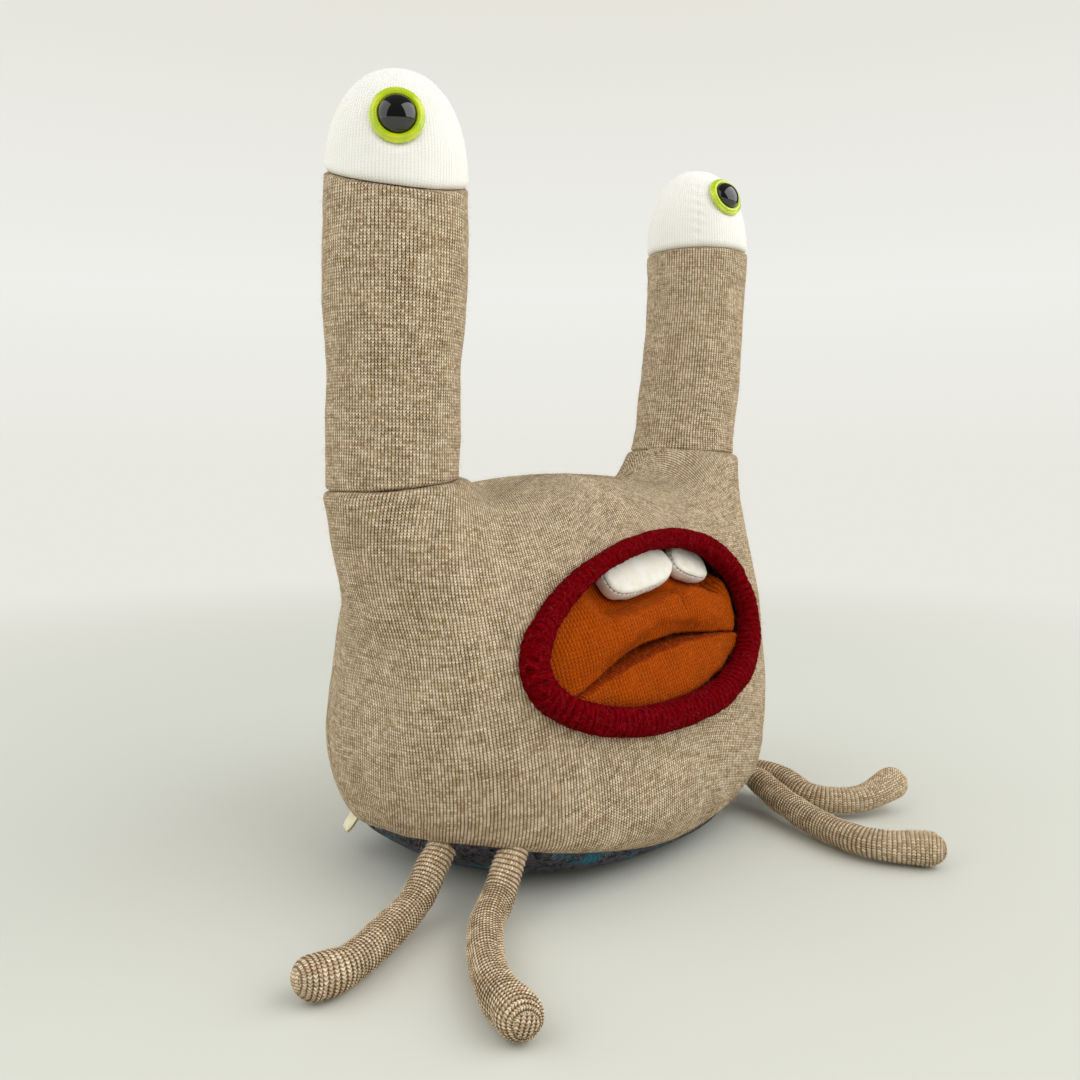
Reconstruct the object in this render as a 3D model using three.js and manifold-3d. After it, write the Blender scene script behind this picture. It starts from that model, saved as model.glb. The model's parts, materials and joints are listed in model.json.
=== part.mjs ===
// A hand-sewn plush monster: a wide knitted body on a flat tweed base, two tall stuffed eyestalks
// with white caps and moulded safety eyes, a padded mouth inside a ribbed lip with two stuffed
// teeth, and four ribbed-knit legs sewn to the base seam. Millimetres, +Z up, front towards -Y,
// origin at the centre of the flat underside.
import * as THREE from 'three';
import { mergeVertices } from 'three/addons/utils/BufferGeometryUtils.js';
import Module from 'manifold-3d';

const wasm = await Module();
wasm.setup();

// Fabrics and fits
const GAP = 0.3;                 // between pieces that touch
const BODY_KNIT = 2.4;           // body fabric with its backing
const STALK_KNIT = 2;
const LEG_KNIT = 1.4;

// Body: outlines by height. front and back are the half-depths, square is how box-like the front is
const BODY_SECTIONS = [
  { z: 0, width: 78, front: 62, back: 60, square: 2.2 },
  { z: 8, width: 99, front: 79, back: 77, square: 2.2 },
  { z: 15, width: 110, front: 86, back: 84, square: 2.3 },
  { z: 30, width: 126, front: 92, back: 89, square: 2.5 },
  { z: 55, width: 135, front: 90, back: 91, square: 2.7 },
  { z: 80, width: 134, front: 83, back: 92, square: 3.2 },
  { z: 118, width: 127, front: 70, back: 92, square: 4.2 },
  { z: 150, width: 125, front: 60, back: 88, square: 4.2 },
  { z: 200, width: 122, front: 55, back: 82, square: 3.4 },
];
const BACK_SQUARE = 2.4;
const BODY_TOP = 196;            // height of the ridge between the eyestalks
const CROWN_START = 105;         // height where the body starts to close towards its ridge
const CROWN_POWER = 2.6;
const HEART_HEIGHT = 95;         // rays that find the upper surface start here, on the middle line
const BASE_SEAM_HEIGHT = 19;     // on the middle line: knit above, tweed below
const BASE_SEAM_TILT = 1.5;      // degrees, higher towards the toy's right
const SIDE_SEAM_DEPTH = 43;      // the side seams run behind the middle
const SHOULDER_FALL = 82;        // how far below the seam a shoulder ends in the belly
const SHOULDER_DROP = 3;         // a shoulder's round end stops this far below the seam
const COLLAR_DEPTH = 14;         // the round rim under a seam runs this far down into the shoulder

// Eyestalks: x of the root, seam height, top height and cap seam height
const STALK_SWING = 18;          // degrees that a stalk bends each way
const STALK_RIM = 2.2;           // the shoulder is this much wider than the stalk
const STALKS = [
  {
    side: 'right', x: -115.5, seam: 192, top: 379, capSeam: 330, radius: 32.7, seamTilt: -5.5,
    lean: [1.5, 0.5], bow: 0, capTilt: [8, 5], eyeTurn: -38, eyeRise: 5, eyeDrop: 28,
    swells: [[0.1, -1.6], [0.35, -1.6], [0.55, -0.2], [0.75, 0.9]],
    shoulder: { reach: 32, swell: 9, blend: 12 },
  },
  {
    side: 'left', x: 116, seam: 208, top: 384, capSeam: 333, radius: 31.3, seamTilt: 3,
    lean: [0, 3.6], bow: 6, capTilt: [0, -4], eyeTurn: -13, eyeRise: 19, eyeDrop: 20,
    swells: [[0.1, -0.2], [0.35, -0.2], [0.55, -0.6], [0.75, -1]],
    shoulder: { reach: 18, swell: 14, blend: 26 },
  },
];
const CAP_POWER = 2.3;           // roundness of the cap's dome
const CAP_HEIGHT = 52;           // from the top down to where the dome's side is upright

// Safety eyes
const EYE_RADIUS = 12;
const EYE_SEAT = 1.2;            // depth that the eye presses into the cap
const EYE_PAD = 11;              // radius of the fabric drawn flat behind the eye
const EYE_RIM_HEIGHT = 3;
const PUPIL_RADIUS = 8.2;
const PUPIL_HEIGHT = 5;
const PUPIL_LEDGE = 1.4;         // height of the rim's step that the pupil rests on
const LEDGE_WIDTH = 1.2;
const SHANK_RADIUS = 2.4;
const SHANK_LENGTH = 14;
const WASHER_RADIUS = 8.5;
const WASHER_THICKNESS = 1.2;
const WASHER_SETBACK = 0.3;

// Mouth: the lip's middle line is an oval on the front of the body
const MOUTH = { x: -5.5, z: 117, halfWidth: 87, halfHeight: 39.5, square: 2.2, tilt: 6.5, egg: 0.18 };
const LIP_RADIUS = 7;
const LIP_PROUD = 3;             // middle of the lip in front of the body's surface
const LIP_RIBS = 70;
const RIB_DEPTH = 0.8;
const LIP_CLEARANCE = 0.4;       // between the lip and the fabric pressed against it
const MOUTH_DEPTH = 30;          // from the body's surface to the back of the lining
const MOUTH_ROOM = 2;            // between the lining's back and the stuffing
const LINING_EDGE = 2;           // the lining's outline lies this far inside the lip's middle line
const LINING_SETBACK = 14;       // from the body's surface to that outline
const LINING_CROWN = 14;         // how far a lobe bulges forward from there
const LINING_SQUARE = 0.28;      // smaller is flatter in the middle and steeper at the edges
// The crease between the lobes is an arch, highest below the mouth's middle
const CREASE_RISE = -6.3;
const CREASE_ARCH = 15.7;        // fall of the crease at the mouth's corners

// Teeth
const TOOTH_THICKNESS = 10;
const TEETH = [
  { side: 'right', x: 1.5, width: 60, height: 23.5, roll: 8, turn: -3 },
  { side: 'left', x: 51.5, width: 37, height: 19, roll: -13, turn: 7 },
];
const TOOTH_TUCK = 0.9;          // between the lip's surface and a tooth's top
const TOOTH_BEHIND = 48;         // degrees from straight below the lip to behind it, for the hinge
const TOOTH_PITCH = 38;          // degrees that a tooth leans forward at its lower edge
const TOOTH_ROOM = 0.9;          // between a tooth and the hollow that it lies in
const TOOTH_SQUARE = 0.62;       // below 1 squares the tooth's face
const TOOTH_ROUND = 0.55;        // smaller is flatter in front with steeper edges

// Legs: the root's direction on the base seam, then points along the middle line to the toe
const LEG_RADIUS = 7.6;
const FOOT_RADIUS = 9;
const LEG_MOUTH = 2;             // radius of what stays open where the root's end is drawn together
const ROOT_RISE = 3;             // a root touches the body this far above the base seam
const LEGS = [
  {
    name: 'right_rear', azimuth: 193.5,
    points: [[-139, -43, 11.5], [-160, -52, 9], [-195, -65, 9], [-214, -62, 10.5]],
  },
  {
    name: 'right_front', azimuth: 211,
    points: [[-115, -68, 11.5], [-132, -80, 9], [-159, -112, 8.6], [-174, -146, 9.8]],
  },
  {
    name: 'left_front', azimuth: -33,
    points: [[92, -80, 14], [75, -119, 9], [67, -153, 8.6], [83, -187, 9.8]],
  },
  {
    name: 'left_rear', azimuth: -21,
    points: [[113, -74, 15], [107, -101, 10], [121, -121, 10.5], [154, -132, 18]],
  },
];

// Small sewn-in tag
const TAG = { width: 13, length: 12, thickness: 1.2, droop: 28, azimuth: 158 };

// Colours
const WOOL = { color: '#a8957c', roughness: 0.95, metalness: 0 };
const WHITE_KNIT = { color: '#f0efe8', roughness: 0.9, metalness: 0 };
const RED_RIB = { color: '#8a0b18', roughness: 0.95, metalness: 0 };
const ORANGE_KNIT = { color: '#c0640f', roughness: 0.95, metalness: 0 };
const TWEED = { color: '#4b5560', roughness: 0.95, metalness: 0 };
const FIBREFILL = { color: '#f7f7f4', roughness: 1, metalness: 0 };
const LIME_PLASTIC = { color: '#b9d810', roughness: 0.25, metalness: 0 };
const BLACK_PLASTIC = { color: '#0b0b0b', roughness: 0.08, metalness: 0 };
const WHITE_PLASTIC = { color: '#e8e8e4', roughness: 0.5, metalness: 0 };
const TAG_TAPE = { color: '#efe9c8', roughness: 0.85, metalness: 0 };

// Solids

function solidOf(geometry) {
  const bare = geometry.clone();
  bare.deleteAttribute('normal');
  bare.deleteAttribute('uv');
  const merged = mergeVertices(bare, 1e-4);
  return new wasm.Manifold(new wasm.Mesh({
    numProp: 3,
    vertProperties: new Float32Array(merged.attributes.position.array),
    triVerts: new Uint32Array(merged.index.array),
  }));
}

function geometryOf(solid) {
  const mesh = solid.getMesh();
  const geometry = new THREE.BufferGeometry();
  geometry.setAttribute('position', new THREE.BufferAttribute(mesh.vertProperties, 3));
  geometry.setIndex(new THREE.BufferAttribute(mesh.triVerts, 1));
  geometry.computeVertexNormals();
  return geometry;
}

function piece(name, geometry, finish) {
  const mesh = new THREE.Mesh(geometry, new THREE.MeshStandardMaterial(finish));
  mesh.name = name;
  return mesh;
}

// Skins a row of rings with the same number of points. With closed set, the last ring meets the first
function loft(rings, closed = false) {
  const count = rings[0].length;
  const positions = rings.flatMap((ring) => ring.flatMap((p) => [p.x, p.y, p.z]));
  const index = [];
  const spans = closed ? rings.length : rings.length - 1;
  for (let i = 0; i < spans; i += 1) {
    const next = (i + 1) % rings.length;
    for (let j = 0; j < count; j += 1) {
      const a = i * count + j;
      const b = i * count + (j + 1) % count;
      const c = next * count + (j + 1) % count;
      const d = next * count + j;
      index.push(a, b, c, a, c, d);
    }
  }
  if (!closed) {
    for (const end of [0, rings.length - 1]) {
      const centre = rings[end].reduce((sum, p) => sum.add(p), new THREE.Vector3()).divideScalar(count);
      const hub = positions.length / 3;
      positions.push(centre.x, centre.y, centre.z);
      for (let j = 0; j < count; j += 1) {
        const a = end * count + j;
        const b = end * count + (j + 1) % count;
        if (end === 0) index.push(hub, b, a);
        else index.push(hub, a, b);
      }
    }
  }
  const geometry = new THREE.BufferGeometry();
  geometry.setAttribute('position', new THREE.Float32BufferAttribute(positions, 3));
  geometry.setIndex(index);
  return facingOut(geometry);
}

// Turns every face round when the closed surface encloses a negative volume
function facingOut(geometry) {
  const at = geometry.attributes.position;
  const index = geometry.index.array;
  const corners = [new THREE.Vector3(), new THREE.Vector3(), new THREE.Vector3()];
  let volume = 0;
  for (let i = 0; i < index.length; i += 3) {
    corners.forEach((corner, k) => corner.fromBufferAttribute(at, index[i + k]));
    volume += corners[0].dot(corners[1].clone().cross(corners[2]));
  }
  if (volume < 0) {
    for (let i = 0; i < index.length; i += 3) {
      [index[i], index[i + 1]] = [index[i + 1], index[i]];
    }
  }
  geometry.computeVertexNormals();
  return geometry;
}

// A prism along the depth axis from an outline of [x, z] points
function prism(outline, nearDepth, farDepth) {
  const shape = new THREE.Shape(outline.map(([x, z]) => new THREE.Vector2(x, z)));
  const geometry = new THREE.ExtrudeGeometry(shape, { depth: nearDepth - farDepth, bevelEnabled: false });
  return solidOf(geometry.rotateX(Math.PI / 2).translate(0, -farDepth, 0));
}

// A ball whose flat faces lie outside the radius
function ball(centre, radius) {
  const around = 20;
  const reach = radius / Math.cos(Math.PI / around) ** 2;
  return solidOf(new THREE.SphereGeometry(reach, around, around / 2).translate(centre.x, centre.y, centre.z));
}

// A cushion's last ring stops at this share of its quarter turn, short of closing to a line
const LAST_RING = 0.95;

// A slab far larger than the part, with its lower face through a point and along a direction
const FAR = 1200;
function halfSpace(point, direction) {
  const turn = new THREE.Quaternion().setFromUnitVectors(new THREE.Vector3(0, 0, 1), direction);
  const geometry = new THREE.BoxGeometry(FAR, FAR, FAR).translate(0, 0, FAR / 2);
  return solidOf(geometry.applyQuaternion(turn).translate(point.x, point.y, point.z));
}

// Body form

// A smooth curve through the section values, by height
function sectionAt(z) {
  const last = BODY_SECTIONS.length - 1;
  let i = 0;
  while (i < last - 1 && BODY_SECTIONS[i + 1].z < z) i += 1;
  const at = (k) => BODY_SECTIONS[Math.min(last, Math.max(0, k))];
  const span = at(i + 1).z - at(i).z;
  const t = Math.min(1, Math.max(0, (z - at(i).z) / span));
  const slope = (k, key) => (k === 0 || k === last
    ? 0
    : (at(k + 1)[key] - at(k - 1)[key]) / (at(k + 1).z - at(k - 1).z));
  const blend = (key) => {
    const startSlope = i === 0 ? (at(1)[key] - at(0)[key]) / span : slope(i, key);
    const start = at(i)[key];
    const end = at(i + 1)[key];
    const t2 = t * t;
    const t3 = t2 * t;
    return start * (2 * t3 - 3 * t2 + 1) + startSlope * span * (t3 - 2 * t2 + t)
      + end * (3 * t2 - 2 * t3) + slope(i + 1, key) * span * (t3 - t2);
  };
  return { width: blend('width'), front: blend('front'), back: blend('back'), square: blend('square') };
}

function smoothMin(a, b, blend) {
  const h = Math.max(blend - Math.abs(a - b), 0) / blend;
  return Math.min(a, b) - h * h * blend / 4;
}

// Below zero inside the body: a belly of rounded sections with a shoulder under each stalk
function bodyField(x, y, z) {
  const section = sectionAt(z);
  const depth = y < 0 ? section.front : section.back;
  const power = y < 0 ? section.square : BACK_SQUARE;
  const across = ((Math.abs(x) / section.width) ** power + (Math.abs(y) / depth) ** power) ** (1 / power);
  const rise = Math.max(0, z - CROWN_START) / (BODY_TOP - CROWN_START);
  const reach = (across ** CROWN_POWER + rise ** CROWN_POWER) ** (1 / CROWN_POWER);
  let field = (reach - 1) * depth;
  for (const stalk of STALKS) {
    const radius = stalk.radius + STALK_RIM;
    const top = new THREE.Vector3(stalk.x, 0, stalk.seam);
    const { reach: lean, swell, blend } = stalk.shoulder;
    const inwards = -Math.sign(stalk.x) * lean;
    const foot = new THREE.Vector3(stalk.x + inwards, 0, stalk.seam - SHOULDER_FALL);
    const line = new THREE.Line3(top, foot);
    const point = new THREE.Vector3(x, y, z);
    const t = line.closestPointToPointParameter(point, true);
    const distance = point.distanceTo(line.at(t, new THREE.Vector3()));
    const shoulder = Math.max(distance - radius - t * swell, z - stalk.seam + SHOULDER_DROP);
    field = smoothMin(field, shoulder, blend);
  }
  return field;
}

// Distance along a ray to the body's surface
function bodyReach(origin, direction) {
  let near = 0;
  let far = 260;
  for (let i = 0; i < 24; i += 1) {
    const middle = (near + far) / 2;
    const p = origin.clone().addScaledVector(direction, middle);
    if (bodyField(p.x, p.y, p.z) < 0) near = middle;
    else far = middle;
  }
  return near;
}

// The whole stuffed body with its flat underside, drawn in by inset. Every inset has its points on
// the same rays, so one form always lies inside another. The rays crowd towards the shoulders, whose
// rims are the tightest curves
const AROUND = 28;
const ROWS_BELOW = 6;
const ROWS_ABOVE = 11;
const CROWD_AROUND = 0.25;
const CROWD_ABOVE = 0.55;
const CROWD_LOW = 1.6;
function bodyForm(inset) {
  const rings = [];
  const ring = (origin, elevation) => {
    const points = [];
    for (let j = 0; j < AROUND; j += 1) {
      const even = 2 * Math.PI * j / AROUND;
      const turn = even - CROWD_AROUND * Math.sin(2 * even);
      const flat = Math.cos(elevation);
      const direction = new THREE.Vector3(Math.cos(turn) * flat, Math.sin(turn) * flat, Math.sin(elevation));
      points.push(origin.clone().addScaledVector(direction, bodyReach(origin, direction) - inset));
    }
    rings.push(points);
  };
  for (let i = 0; i < ROWS_BELOW; i += 1) {
    ring(new THREE.Vector3(0, 0, HEART_HEIGHT * (i / ROWS_BELOW) ** CROWD_LOW), 0);
  }
  rings[0].forEach((point) => point.setZ(inset));
  for (let i = 0; i < ROWS_ABOVE; i += 1) {
    const share = i / ROWS_ABOVE;
    const crowded = share + CROWD_ABOVE * Math.sin(2 * Math.PI * share) / (2 * Math.PI);
    ring(new THREE.Vector3(0, 0, HEART_HEIGHT), (Math.PI / 2) * crowded);
  }
  return STALKS.reduce((sum, stalk) => sum.add(collarForm(stalk, inset)), solidOf(loft(rings)));
}

// The round rim of the shoulder under a stalk's seam, drawn in by inset. It is upright above the
// seam, where it is cut away, and leans inwards below it as the shoulder does
function collarForm(stalk, inset) {
  const sides = 20;
  const rings = [-1, 0, 1].map((share) => {
    const down = Math.max(0, share) * COLLAR_DEPTH / SHOULDER_FALL;
    const radius = stalk.radius + STALK_RIM - inset + down * stalk.shoulder.swell;
    const x = stalk.x - Math.sign(stalk.x) * stalk.shoulder.reach * down;
    return Array.from({ length: sides }, (_, j) => {
      const turn = 2 * Math.PI * j / sides;
      return new THREE.Vector3(
        x + radius * Math.cos(turn),
        radius * Math.sin(turn),
        stalk.seam - share * COLLAR_DEPTH,
      );
    });
  });
  return solidOf(loft(rings));
}

const bodyOuter = bodyForm(0);
const bodyInner = bodyForm(BODY_KNIT);
const bodyFill = bodyForm(BODY_KNIT + GAP);

// Height of the base seam at a place across the body
const seamHeight = (x) => BASE_SEAM_HEIGHT - x * Math.tan(THREE.MathUtils.degToRad(BASE_SEAM_TILT));

// The body's faceted surface at the base seam or above it, in a level direction, with its normal
const bodyShell = new THREE.Mesh(geometryOf(bodyOuter));
function surfaceAtSeam(azimuth, rise) {
  const turn = THREE.MathUtils.degToRad(azimuth);
  const outwards = new THREE.Vector3(Math.cos(turn), Math.sin(turn), 0);
  const height = seamHeight(outwards.x * BODY_SECTIONS[2].width) + rise;
  const start = new THREE.Vector3(0, 0, height).addScaledVector(outwards, FAR);
  const [hit] = new THREE.Raycaster(start, outwards.clone().negate()).intersectObject(bodyShell);
  return { point: hit.point, normal: hit.face.normal };
}

// Eyestalks

const rootDrop = (stalk) => stalk.radius * Math.tan(THREE.MathUtils.degToRad(STALK_SWING));
const stalkRoot = (stalk) => new THREE.Vector3(stalk.x, 0, stalk.seam + rootDrop(stalk));

// Room for a stalk in the body: its round root, and everything above its seam
function stalkRoom(stalk) {
  const root = stalkRoot(stalk);
  const tall = stalk.top - stalk.seam;
  const clear = new THREE.CylinderGeometry(stalk.radius + 9, stalk.radius + 9, tall, 24)
    .rotateX(Math.PI / 2)
    .translate(0, 0, tall / 2)
    .rotateY(THREE.MathUtils.degToRad(stalk.seamTilt))
    .translate(stalk.x, 0, stalk.seam);
  return solidOf(clear).add(ball(root, stalk.radius + GAP));
}

// Upright outline of a stalk about its root, drawn in by inset: round root, shaft and domed cap
function stalkProfile(stalk, inset) {
  const height = stalk.top - stalkRoot(stalk).z;
  const radius = stalk.radius - inset;
  const points = [];
  for (let i = 0; i <= 4; i += 1) {
    const angle = (Math.PI / 2) * (i / 4);
    points.push(new THREE.Vector2(radius * Math.sin(angle), -radius * Math.cos(angle)));
  }
  const shaft = height - CAP_HEIGHT;
  for (const [share, swell] of stalk.swells) {
    points.push(new THREE.Vector2(radius + swell, shaft * share));
  }
  for (let i = 0; i <= 6; i += 1) {
    const t = Math.sin((Math.PI / 2) * (i / 6));
    const width = radius * (1 - t ** CAP_POWER) ** (1 / CAP_POWER);
    points.push(new THREE.Vector2(Math.max(0, width), shaft + (CAP_HEIGHT - inset) * t));
  }
  points[0].x = 0;
  points[points.length - 1].x = 0;
  return points;
}

// Where the middle of the eye's back sits on the cap
function eyePlace(stalk) {
  const height = stalk.top - stalkRoot(stalk).z;
  const turn = THREE.MathUtils.degToRad(stalk.eyeTurn);
  const rise = THREE.MathUtils.degToRad(stalk.eyeRise);
  const t = (CAP_HEIGHT - stalk.eyeDrop) / CAP_HEIGHT;
  const width = stalk.radius * (1 - t ** CAP_POWER) ** (1 / CAP_POWER);
  const out = new THREE.Vector3(Math.sin(turn), -Math.cos(turn), 0);
  const surface = out.clone().multiplyScalar(width).setZ(height - stalk.eyeDrop);
  surface.x += bowAt(stalk, surface.z);
  const normal = out.clone().multiplyScalar(Math.cos(rise)).setZ(Math.sin(rise));
  return { seat: surface.addScaledVector(normal, -EYE_SEAT), normal };
}

// How far a bowed stalk stands to the side at a height above its root
function bowAt(stalk, z) {
  const height = stalk.top - stalkRoot(stalk).z;
  return stalk.bow * Math.sin(Math.PI * Math.min(1, Math.max(0, z / height)));
}

function stalkForm(stalk, inset, sides) {
  const lathe = new THREE.LatheGeometry(stalkProfile(stalk, inset), sides).rotateX(Math.PI / 2);
  const at = lathe.attributes.position;
  for (let i = 0; i < at.count; i += 1) at.setX(i, at.getX(i) + bowAt(stalk, at.getZ(i)));
  return solidOf(facingOut(mergeVertices(stripped(lathe), 1e-4)));
}

function stripped(geometry) {
  geometry.deleteAttribute('normal');
  geometry.deleteAttribute('uv');
  return geometry;
}

// A turned piece about the eye's axis, from [radius, height] points in a closed outline
function turned(outline, segments) {
  const points = [...outline, outline[0]].map(([r, h]) => new THREE.Vector2(r, h));
  return facingOut(mergeVertices(stripped(new THREE.LatheGeometry(points, segments).rotateX(Math.PI / 2)), 1e-4));
}

function eyeRim() {
  const hole = PUPIL_RADIUS - LEDGE_WIDTH;
  return turned([
    [hole, 0], [EYE_RADIUS - 0.6, 0], [EYE_RADIUS, 0.9], [EYE_RADIUS - 1.6, 2.6],
    [PUPIL_RADIUS + 1.6, EYE_RIM_HEIGHT], [PUPIL_RADIUS + GAP, EYE_RIM_HEIGHT - 0.9],
    [PUPIL_RADIUS + GAP, PUPIL_LEDGE], [hole, PUPIL_LEDGE],
  ], 24);
}

// The black dome and its ringed shank are one moulding
function eyePupil() {
  const points = [[0, -SHANK_LENGTH]];
  for (const low of [-SHANK_LENGTH + 2, -SHANK_LENGTH + 5]) {
    points.push([SHANK_RADIUS - 0.5, low], [SHANK_RADIUS, low + 1.5]);
  }
  const collar = PUPIL_RADIUS - LEDGE_WIDTH - GAP;
  points.push([SHANK_RADIUS, 0.5], [collar, 0.5], [collar, PUPIL_LEDGE + GAP]);
  points.push([PUPIL_RADIUS, PUPIL_LEDGE + GAP]);
  for (let i = 0; i <= 4; i += 1) {
    const angle = (Math.PI / 2) * (i / 4);
    points.push([PUPIL_RADIUS * Math.cos(angle), PUPIL_LEDGE + 0.8 + PUPIL_HEIGHT * Math.sin(angle)]);
  }
  points[points.length - 1][0] = 0;
  return turned(points, 16);
}

function eyeWasher() {
  const top = -STALK_KNIT - WASHER_SETBACK;
  const hole = SHANK_RADIUS + GAP;
  return turned([
    [hole, top], [WASHER_RADIUS, top], [WASHER_RADIUS, top - 0.6],
    [hole + 1.8, top - WASHER_THICKNESS - 0.6], [hole, top - WASHER_THICKNESS],
  ], 16);
}

function buildStalk(stalk) {
  const group = new THREE.Group();
  group.position.copy(stalkRoot(stalk));
  const lean = stalk.lean.map(THREE.MathUtils.degToRad);
  group.rotation.set(lean[0], lean[1], 0);
  const { seat, normal } = eyePlace(stalk);
  const eyeAxis = new THREE.Quaternion().setFromUnitVectors(new THREE.Vector3(0, 0, 1), normal);
  const bored = (radius, low, high) => {
    const sides = 12;
    const reach = radius / Math.cos(Math.PI / sides);
    return solidOf(new THREE.CylinderGeometry(reach, reach, high - low, sides)
      .rotateX(Math.PI / 2)
      .translate(0, 0, (high + low) / 2)
      .applyQuaternion(eyeAxis)
      .translate(seat.x, seat.y, seat.z));
  };

  const washerDepth = -STALK_KNIT - WASHER_SETBACK - WASHER_THICKNESS - 2 * GAP - 0.6;
  const skin = stalkForm(stalk, 0, 18)
    .subtract(stalkForm(stalk, STALK_KNIT, 14))
    .add(bored(EYE_PAD, -STALK_KNIT, 0))
    .subtract(bored(EYE_RADIUS + GAP, 0, 8))
    .subtract(bored(SHANK_RADIUS + GAP, -STALK_KNIT - 2, 2))
    .subtract(bored(WASHER_RADIUS + GAP, washerDepth, -STALK_KNIT));
  const tilt = new THREE.Euler(...stalk.capTilt.map(THREE.MathUtils.degToRad), 0);
  const up = new THREE.Vector3(0, 0, 1).applyEuler(tilt);
  const seamPoint = new THREE.Vector3(0, 0, stalk.capSeam - stalkRoot(stalk).z);
  const lift = (distance) => seamPoint.clone().addScaledVector(up, distance);
  const tuck = -Math.sin(THREE.MathUtils.degToRad(2 * STALK_SWING + 2)) * stalk.radius;
  const cover = skin
    .subtract(halfSpace(lift(-GAP / 2), up))
    .intersect(halfSpace(new THREE.Vector3(0, 0, tuck), new THREE.Vector3(0, 0, 1)));
  const cap = skin.intersect(halfSpace(lift(GAP / 2), up));
  const filling = stalkForm(stalk, STALK_KNIT + GAP, 14)
    .subtract(bored(EYE_PAD + GAP, -STALK_KNIT - GAP, 2))
    .subtract(bored(WASHER_RADIUS + GAP, washerDepth, 2))
    .subtract(bored(SHANK_RADIUS + GAP, -SHANK_LENGTH - GAP, 2));

  group.add(piece(`eyestalk_cover_${stalk.side}`, geometryOf(cover), WOOL));
  group.add(piece(`eyestalk_cap_${stalk.side}`, geometryOf(cap), WHITE_KNIT));
  group.add(piece(`eyestalk_stuffing_${stalk.side}`, geometryOf(filling), FIBREFILL));
  const eye = new THREE.Group();
  eye.position.copy(seat).addScaledVector(normal, GAP);
  eye.quaternion.copy(eyeAxis);
  eye.add(piece(`eye_rim_${stalk.side}`, eyeRim(), LIME_PLASTIC));
  eye.add(piece(`eye_pupil_${stalk.side}`, eyePupil(), BLACK_PLASTIC));
  const washer = piece(`eye_washer_${stalk.side}`, eyeWasher(), WHITE_PLASTIC);
  washer.position.z = -GAP;
  eye.add(washer);
  group.add(eye);
  return group;
}

// Mouth

// Turns a place counted along and up from the mouth's middle into [x, z]
function inMouth(along, rise) {
  const tilt = THREE.MathUtils.degToRad(MOUTH.tilt);
  return [
    MOUTH.x + along * Math.cos(tilt) - rise * Math.sin(tilt),
    MOUTH.z + along * Math.sin(tilt) + rise * Math.cos(tilt),
  ];
}

// A point of the mouth's egg-like oval moved out by grow, counted along and up from its middle
function ovalPoint(angle, grow) {
  const power = 2 / MOUTH.square;
  const c = Math.cos(angle);
  const s = Math.sin(angle);
  const along = (MOUTH.halfWidth + grow) * Math.sign(c) * Math.abs(c) ** power;
  const halfHeight = MOUTH.halfHeight * (1 + MOUTH.egg * along / MOUTH.halfWidth) + grow;
  return [along, halfHeight * Math.sign(s) * Math.abs(s) ** power];
}

const mouthPoint = (angle) => inMouth(...ovalPoint(angle, 0));

const FRONT = new THREE.Vector3(0, -1, 0);

// Depth of the body's front surface, counted forwards from the middle
function frontDepth(x, z) {
  return bodyReach(new THREE.Vector3(x, 0, z), FRONT);
}

// The front leans back
const lowFront = frontDepth(MOUTH.x, MOUTH.z - MOUTH.halfHeight);
const highFront = frontDepth(MOUTH.x, MOUTH.z + MOUTH.halfHeight);
const mouthLean = Math.atan2(lowFront - highFront, 2 * MOUTH.halfHeight);

// The lip is one ribbed tube round the mouth
function lipTube(grow, ribs, ribDepth) {
  const steps = ribs * 2;
  const fine = 720;
  const trail = Array.from({ length: fine }, (_, i) => {
    const [x, z] = mouthPoint(2 * Math.PI * i / fine);
    return new THREE.Vector3(x, -frontDepth(x, z) - LIP_PROUD, z);
  });
  const curve = new THREE.CatmullRomCurve3(trail, true);
  curve.arcLengthDivisions = fine;
  const rings = [];
  for (let i = 0; i < steps; i += 1) {
    const u = i / steps;
    const centre = curve.getPointAt(u);
    const along = curve.getTangentAt(u);
    const side = along.clone().cross(FRONT).normalize();
    const out = side.clone().cross(along).normalize();
    const radius = LIP_RADIUS + grow - (i % 2) * ribDepth;
    const ring = [];
    for (let j = 0; j < 8; j += 1) {
      const angle = 2 * Math.PI * (j + 0.5) / 8;
      ring.push(centre.clone()
        .addScaledVector(side, radius * Math.cos(angle))
        .addScaledVector(out, radius * Math.sin(angle)));
    }
    rings.push(ring);
  }
  return loft(rings, true);
}

// Height of the crease between the lobes above the mouth's middle
function creaseRise(along) {
  return CREASE_RISE - CREASE_ARCH * (along / MOUTH.halfWidth) ** 2;
}

// Outline of the lobe above or below the crease: round the oval, then back along the crease
function lobeOutline(above) {
  const side = above ? 1 : -1;
  const round = Array.from({ length: 360 }, (_, i) => side * THREE.MathUtils.degToRad(i - 90))
    .map((angle) => ovalPoint(angle, -LINING_EDGE))
    .filter(([along, rise]) => side * (rise - creaseRise(along)) > GAP);
  const arcSpans = 20;
  const outline = Array.from({ length: arcSpans + 1 }, (_, i) => (
    round[Math.round(i * (round.length - 1) / arcSpans)]));
  const [from] = outline[outline.length - 1];
  const [to] = outline[0];
  const spans = 9;
  for (let i = 1; i < spans; i += 1) {
    const along = from + (to - from) * (i / spans);
    outline.push([along, creaseRise(along) + side * GAP / 2]);
  }
  return outline.map(([along, rise]) => inMouth(along, rise));
}

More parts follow.
